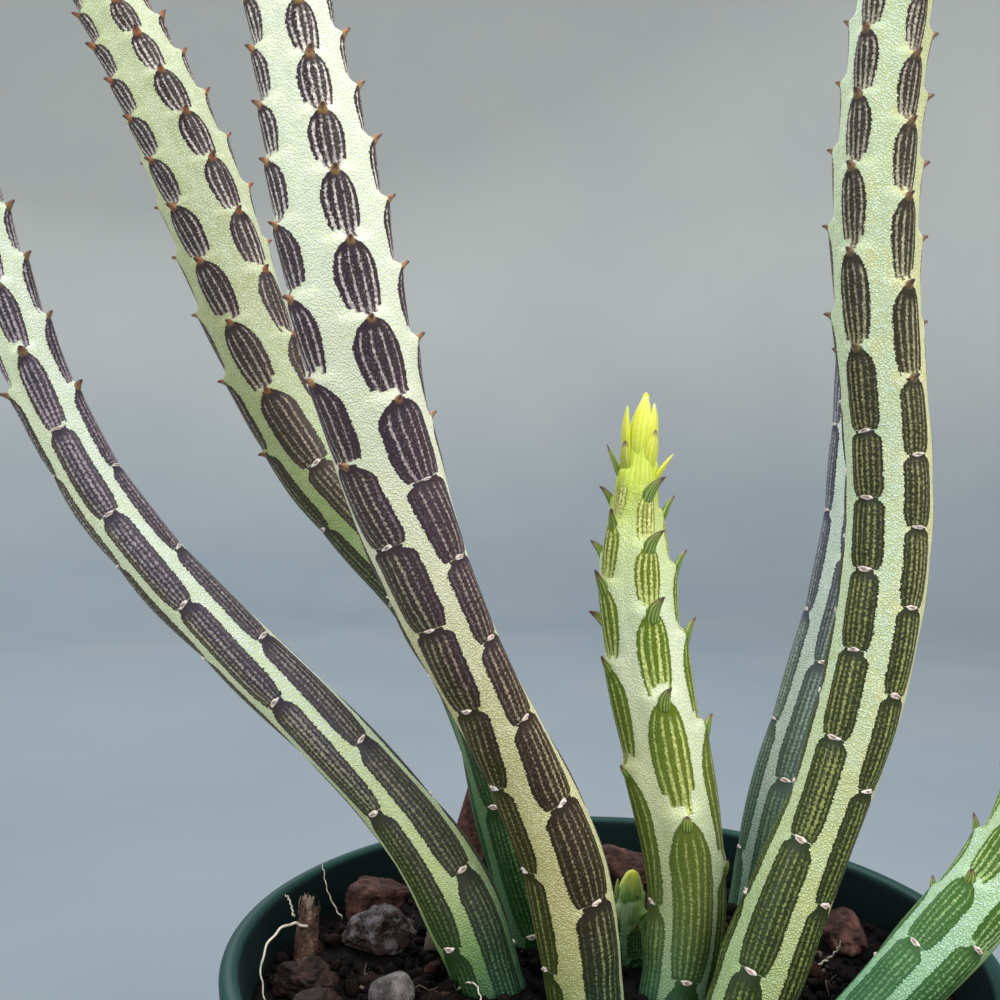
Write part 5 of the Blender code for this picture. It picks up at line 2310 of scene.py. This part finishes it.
@dataclass(frozen=True)
class Lump:
    """A loose chip or stone on the mix: place (x, y), size (x, y, height), turn in degrees."""

    name: str
    place: Pair
    size: Triple
    turn: float
    finish: BarkFinish | StoneFinish
    chunky: float = 0.34
    fineness: int = 5
    crumbly: float = 0.16

    def build(self, top: float, gap: float) -> Piece:
        """Builds the piece, with facets, layered fibres and a flat seat.

        Args:
            top: Height of the mix, in millimetres.
            gap: Gap between the seat and the mix.

        Returns:
            The piece.
        """
        points, faces = ball(self.fineness)
        random = np.random.default_rng(sum(self.name.encode()))
        shape = points * 0.54
        cuts = 11 if self.chunky > 0.2 else 5
        for _ in range(cuts):
            normal = unit(random.normal(size=3))
            depth = random.uniform(0.27, 0.42)
            over = np.maximum(shape @ normal - depth, 0)
            shape = shape - 0.88 * over[:, None] * normal
        seed = random.uniform(0, 50)
        size = np.array(self.size)
        layered = shape * size / np.array([3.2, 1.3, 1.1])
        ridges = np.array([noise.fractal(Vector(row + seed), 0.9, 2.1, 5) for row in layered])
        broad = np.array([noise.noise(Vector(row * 3.0 + seed)) for row in shape])
        crumbs = np.array([noise.fractal(Vector(row * 9.0 + seed), 0.8, 2.1, 3) for row in shape])
        relief = 0.5 * broad + 0.28 * ridges + self.crumbly * crumbs
        shape = shape * (1 + self.chunky * relief)[:, None]
        shape[:, 2] = np.maximum(shape[:, 2], -0.26)
        shape[:, 2] -= shape[:, 2].min()
        shape /= np.array([np.ptp(shape[:, 0]), np.ptp(shape[:, 1]), shape[:, 2].max()])
        shape *= size
        angle = math.radians(self.turn)
        turned = shape.copy()
        turned[:, 0] = shape[:, 0] * math.cos(angle) - shape[:, 1] * math.sin(angle)
        turned[:, 1] = shape[:, 0] * math.sin(angle) + shape[:, 1] * math.cos(angle)
        turned += np.array([*self.place, top + gap])
        material = self.finish.material(f"{self.name}_finish")
        piece = make_piece(f"{self.name}_detail", turned * MM, faces.tolist(), {}, material)
        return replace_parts(piece, self.name) if self.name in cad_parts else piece


@dataclass(frozen=True)
class Stub:
    """A splinter that stands in the mix: place (x, y), size (x, y, height), lean in degrees."""

    name: str
    place: Pair
    size: Triple
    lean: float
    finish: BarkFinish
    frayed: int = 0
    depth: float = 6.0
    sides: int = 56
    rows: int = 60
    sunk: float = 0.22  # share of the rings that is in the mix

    def build(self, top: float) -> Piece:
        """Builds the splinter, with long fibres and a torn top.

        Args:
            top: Height of the mix, in millimetres.

        Returns:
            The piece.
        """
        random = np.random.default_rng(sum(self.name.encode()))
        width, depth, height = self.size
        foot = min(width, depth) / 2
        angle = circle(self.sides)
        outline = [(math.cos(t) * 2.1, math.sin(t) * 2.1) for t in angle]
        torn = np.array([noise.noise(Vector((*p, width))) for p in outline])
        torn = 1 - 0.20 * (np.cos(angle) + 1) / 2 + 0.16 * torn
        share = np.linspace(0, 1, self.rows)
        below = np.clip(share / self.sunk, 0, 1)
        above = np.clip((share - self.sunk) / (1 - self.sunk), 0, 1)
        z = -self.depth * (1 - below)[:, None] + above[:, None] * (height * torn)[None]
        spread = ease(above, 0.0, 0.12)[:, None]
        around = [(math.cos(t) * 3.4, math.sin(t) * 3.4) for t in angle]
        levels = share * 1.6 + width
        ridge = [[noise.fractal(Vector((*p, h)), 0.9, 2.1, 4) for p in around] for h in levels]
        ridge = np.array(ridge)
        reach = 1 + (0.20 * ridge - 0.03) * spread - 0.16 * ease(above, 0.55, 1.0)[:, None]
        x = np.cos(angle) * reach * (foot + (width / 2 - foot) * spread)
        y = np.sin(angle) * reach * (foot + (depth / 2 - foot) * spread)
        x = x + np.maximum(z, 0) * math.tan(math.radians(self.lean))
        points = np.stack([x, y, z], -1).reshape(-1, 3)
        centre = points[-self.sides :].mean(axis=0) - np.array([0, 0, 0.9])
        points = np.concatenate([points, [centre], [[0, 0, -self.depth]]])
        sheet = Sheet()
        sheet.add(points, grid_faces(self.rows, self.sides), end_faces(self.rows, self.sides))
        for _ in range(self.frayed):
            t = random.uniform(0, math.tau)
            start = np.array([math.cos(t) * foot * 0.75, math.sin(t) * foot * 0.75, height * 0.74])
            start[0] += start[2] * math.tan(math.radians(self.lean))
            rise = height * random.uniform(0.10, 0.24)
            end = start + np.array([math.cos(t) * 0.5, math.sin(t) * 0.5, rise])
            q = np.linspace(0, 1, 8)[:, None]
            route = start + (end - start) * q + np.array([0.3, 0.2, 0]) * np.sin(q * 5 + t) * q
            route[:, 2] = np.minimum(route[:, 2], height)
            sheet.add(*tube(route, np.linspace(0.24, 0.06, 8), 6))
        sheet.points = [(part + np.array([*self.place, top])) * MM for part in sheet.points]
        material = self.finish.material(f"{self.name}_finish")
        piece = sheet.piece(f"{self.name}_detail", material, Slot.BARK)
        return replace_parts(piece, self.name)


RED_BARK = BarkFinish(dark="#22150f", body="#4a2f29", red="#704a42", crusting=0.0)
DARK_BARK = BarkFinish(dark="#150e0c", body="#30221e", red="#503830", crusting=0.0)
CRUSTED_BARK = BarkFinish(dark="#1d1412", body="#40302c", red="#634a42", crust="#868890", crusting=0.16)
FIBROUS_BARK = BarkFinish(dark="#2a1c17", body="#523c31", red="#6e5143", crust="#b8ac9b", crusting=0.13)
SPECKLED_STONE = StoneFinish()
BROWN_STONE = StoneFinish(body="#5f4f48", pale="#84726a", dark="#382c28")
PALE_STONE = StoneFinish(body="#5e5653", pale="#8c8580", dark="#383230")

LUMPS = [
    Lump("bark_chip_1", (-34.0, 23.0), (11.0, 8.0, 5.2), 20, RED_BARK),
    Lump("bark_chip_2", (-33.0, 11.0), (12.0, 8.5, 6.0), -15, CRUSTED_BARK),
    Lump("bark_chip_3", (-38.0, -13.0), (10.0, 7.0, 4.6), 60, DARK_BARK),
    Lump("bark_chip_4", (8.0, 38.0), (12.0, 8.0, 5.5), -10, RED_BARK),
    Lump("bark_chip_5", (37.5, 12.0), (10.5, 7.0, 4.6), 75, RED_BARK),
    Lump("bark_chip_6", (-18.0, -30.0), (12.5, 8.5, 5.6), 35, DARK_BARK),
    Lump("bark_chip_7", (14.0, -34.0), (11.0, 7.5, 5.0), -40, RED_BARK),
    Lump("mix_clump", (-41.3, -4.2), (9.2, 7.6, 5.2), 30, DARK_BARK, 0.55, crumbly=0.34),
    Lump("pebble_1", (-29.0, -7.0), (6.2, 5.2, 4.0), 10, SPECKLED_STONE, 0.15, 4),
    Lump("pebble_2", (-23.5, 10.0), (5.0, 4.4, 3.4), 50, BROWN_STONE, 0.15, 4),
    Lump("pebble_3", (-3.0, -25.0), (5.6, 4.8, 3.6), -30, SPECKLED_STONE, 0.15, 4),
    Lump("pebble_4", (29.0, -29.0), (6.0, 5.0, 3.8), 15, PALE_STONE, 0.15, 4),
]
STUBS = [
    Stub("bark_flake", (-21.0, 40.0), (6.0, 3.0, 15.0), 12, RED_BARK),
    Stub("twig", (-42.5, 3.0), (3.2, 3.2, 11.0), 6, FIBROUS_BARK, frayed=9),
]


@dataclass
class DryRoots:
    """Thin pale roots and a dry sprout over the mix."""

    routes: Sequence[tuple[float, Sequence[Triple]]] = (
        (
            0.20,
            (
                (-41.5, 2.0, 87.5), (-43.5, -1.0, 89.4), (-45.6, -4.0, 88.6), (-46.6, -5.5, 85.6),
                (-45.8, -6.5, 81.2),
            ),
        ),
        (0.14, ((-43.9, 3.4, 88.5), (-44.6, 3.2, 91.2), (-45.0, 3.0, 92.0))),
        (0.13, ((-39.5, 20.0, 81.5), (-42.2, 22.5, 85.0), (-43.2, 24.0, 88.8))),
        (0.15, ((-20.5, -3.0, 81.0), (-18.8, -4.6, 82.9), (-17.6, -6.2, 83.2), (-17.0, -8.0, 81.1))),
        (0.16, ((31.0, 4.0, 81.2), (33.0, 3.0, 83.4), (33.6, 1.5, 86.0))),
    )
    steps: int = 36
    sides: int = 8

    def build(self) -> list[Piece]:
        """Builds the roots as one piece.

        Returns:
            The piece.
        """
        g = Graph("dry_root")
        colour = g.mix(g.noise(0.8, 3.0), "#b9ab96", "#efe9dc")
        colour = g.mix(g.noise(2.2).smooth(0.55, 0.75) * 0.6, colour, "#8a765e")
        g.bump(g.noise(0.3, 2.0), 0.05)
        material = g.dress(colour, g.noise(0.7).between(0.5, 0.75))
        sheet = Sheet()
        for radius, knots in self.routes:
            points = np.array(knots)
            places = np.r_[0, np.cumsum(np.linalg.norm(np.diff(points, axis=0), axis=1))]
            route = natural_spline(places, points, np.linspace(0, places[-1], self.steps))
            step = np.arange(1, self.steps - 1)[:, None]
            route[1:-1] += 0.10 * np.sin(step * np.array([0.9, 1.3, 1.1]))
            radii = radius * (1 - 0.45 * np.linspace(0, 1, self.steps))
            radii[0] *= 0.2
            radii[-1] *= 0.2
            tube_points, faces = tube(route, radii, self.sides)
            sheet.add(tube_points * MM, faces)
        return [sheet.piece("dry_roots", material, Slot.BARK)]


# Studio


@dataclass
class Studio:
    """Grey floor that curves up into a paler wall all round, its colour darker low down as painted shade,
    soft lights and the camera. Metres.
    """

    floor_radius: float = 0.95
    wall_radius: float = 1.55
    wall_height: float = 1.9
    steps: int = 128
    camera_place: Triple = (-0.0145, -0.1484, 0.1510)
    camera_tilt: float = 88.89
    lens: float = 38.60
    aim_height: float = 0.14

    def build_cove(self) -> Piece:
        """Builds the floor and wall.

        Returns:
            The cove.
        """
        angles = np.radians(np.linspace(-90, 0, 24))
        bend = self.wall_radius - self.floor_radius
        curve = [(self.floor_radius + bend * math.cos(t), bend + bend * math.sin(t)) for t in angles]
        profile = np.array([(0.15, 0.0), (0.5, 0.0), *curve, (self.wall_radius, self.wall_height)])
        around = circle(self.steps)
        points = turned_ring(profile[:, 0], profile[:, 1], around)
        points = np.concatenate([points, [[0.0, 0.0, 0.0]]])
        faces = grid_faces(len(profile), self.steps).tolist()
        faces += fan_faces(np.arange(self.steps), len(points) - 1, False).tolist()
        mesh = bpy.data.meshes.new("studio_cove")
        mesh.from_pydata(points, [], [face[::-1] for face in faces])
        mesh.shade_smooth()
        g = Graph("studio_paper")
        # Painted shade: the floor is painted darker and the wall paler as it rises, evening out the extra
        # light that the floor gets.
        cloud = g.noise(220.0, 3.0) * 0.25 + g.axis(2).smooth(-0.05, 0.55) * 0.75
        colour = g.mix(cloud, "#737e89", "#b8bab6")
        roughness = g.noise(90.0).between(0.85, 0.95)
        mesh.materials.append(g.dress(colour, roughness, Specular_IOR_Level=0.15))
        cove = bpy.data.objects.new("studio_cove", mesh)
        bpy.context.scene.collection.objects.link(cove)
        return cove

    def add_light(self, name: str, place: Triple, size: float, power: float, colour: Triple) -> None:
        """Adds a square soft light that points at the plant.

        Args:
            name: The light's name.
            place: Where it stands.
            size: Its side.
            power: Its power in watts.
            colour: Its colour.
        """
        light = bpy.data.lights.new(name, "AREA")
        light.shape = "SQUARE"
        light.size = size
        light.energy = power
        light.color = colour
        obj = bpy.data.objects.new(name, light)
        obj.location = place
        aim = Vector((0, 0, self.aim_height)) - Vector(place)
        obj.rotation_euler = aim.to_track_quat("-Z", "Y").to_euler()
        bpy.context.scene.collection.objects.link(obj)

    def build_lights(self) -> None:
        """Adds the lights and the even light of the room."""
        self.add_light("key", (0.75, -0.75, 0.95), 0.9, 18.5, (1.0, 0.99, 0.97))
        self.add_light("fill", (-0.95, -0.60, 0.55), 1.0, 10.0, (0.95, 0.98, 1.0))
        self.add_light("back", (-0.45, 0.95, 1.10), 0.8, 10.0, (0.95, 0.98, 1.0))
        self.add_light("top", (0.15, 0.05, 1.55), 0.9, 9.0, (1.0, 1.0, 1.0))
        world = bpy.data.worlds.new("studio_air")
        world.use_nodes = True
        background = world.node_tree.nodes["Background"]
        background.inputs["Color"].default_value = (0.86, 0.93, 1.0, 1.0)
        background.inputs["Strength"].default_value = 0.42
        bpy.context.scene.world = world

    def build_camera(self) -> None:
        """Adds the camera at the photograph's angle."""
        data = bpy.data.cameras.new("camera")
        data.sensor_width = 36.0
        data.lens = self.lens
        data.clip_start = 0.01
        camera = bpy.data.objects.new("camera", data)
        camera.location = self.camera_place
        camera.rotation_euler = (math.radians(self.camera_tilt), 0.0, 0.0)
        bpy.context.scene.collection.objects.link(camera)
        bpy.context.scene.camera = camera

    def build(self) -> None:
        """Builds the whole studio."""
        self.build_cove()
        self.build_lights()
        self.build_camera()
        bpy.context.scene.view_settings.view_transform = "Standard"


def report(pieces: Sequence[Piece]) -> None:
    """Logs each piece with its number of faces."""
    for piece in pieces:
        LOG.info("%s: %d faces", piece.name, len(piece.data.polygons))


def main() -> None:
    """Builds the plant, its pot and the studio."""
    logging.basicConfig(level=logging.INFO, format="%(message)s")
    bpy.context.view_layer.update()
    for stem in STEMS:
        report(stem.build())
    shell = PotShell()
    report(shell.build(PlasticFinish()))
    mix = PottingMix(shell)
    report(mix.build(MixFinish()))
    report([lump.build(mix.top, mix.gap) for lump in LUMPS])
    report([stub.build(mix.top) for stub in STUBS])
    report(DryRoots().build())
    Studio().build()


if __name__ == "__main__":
    main()
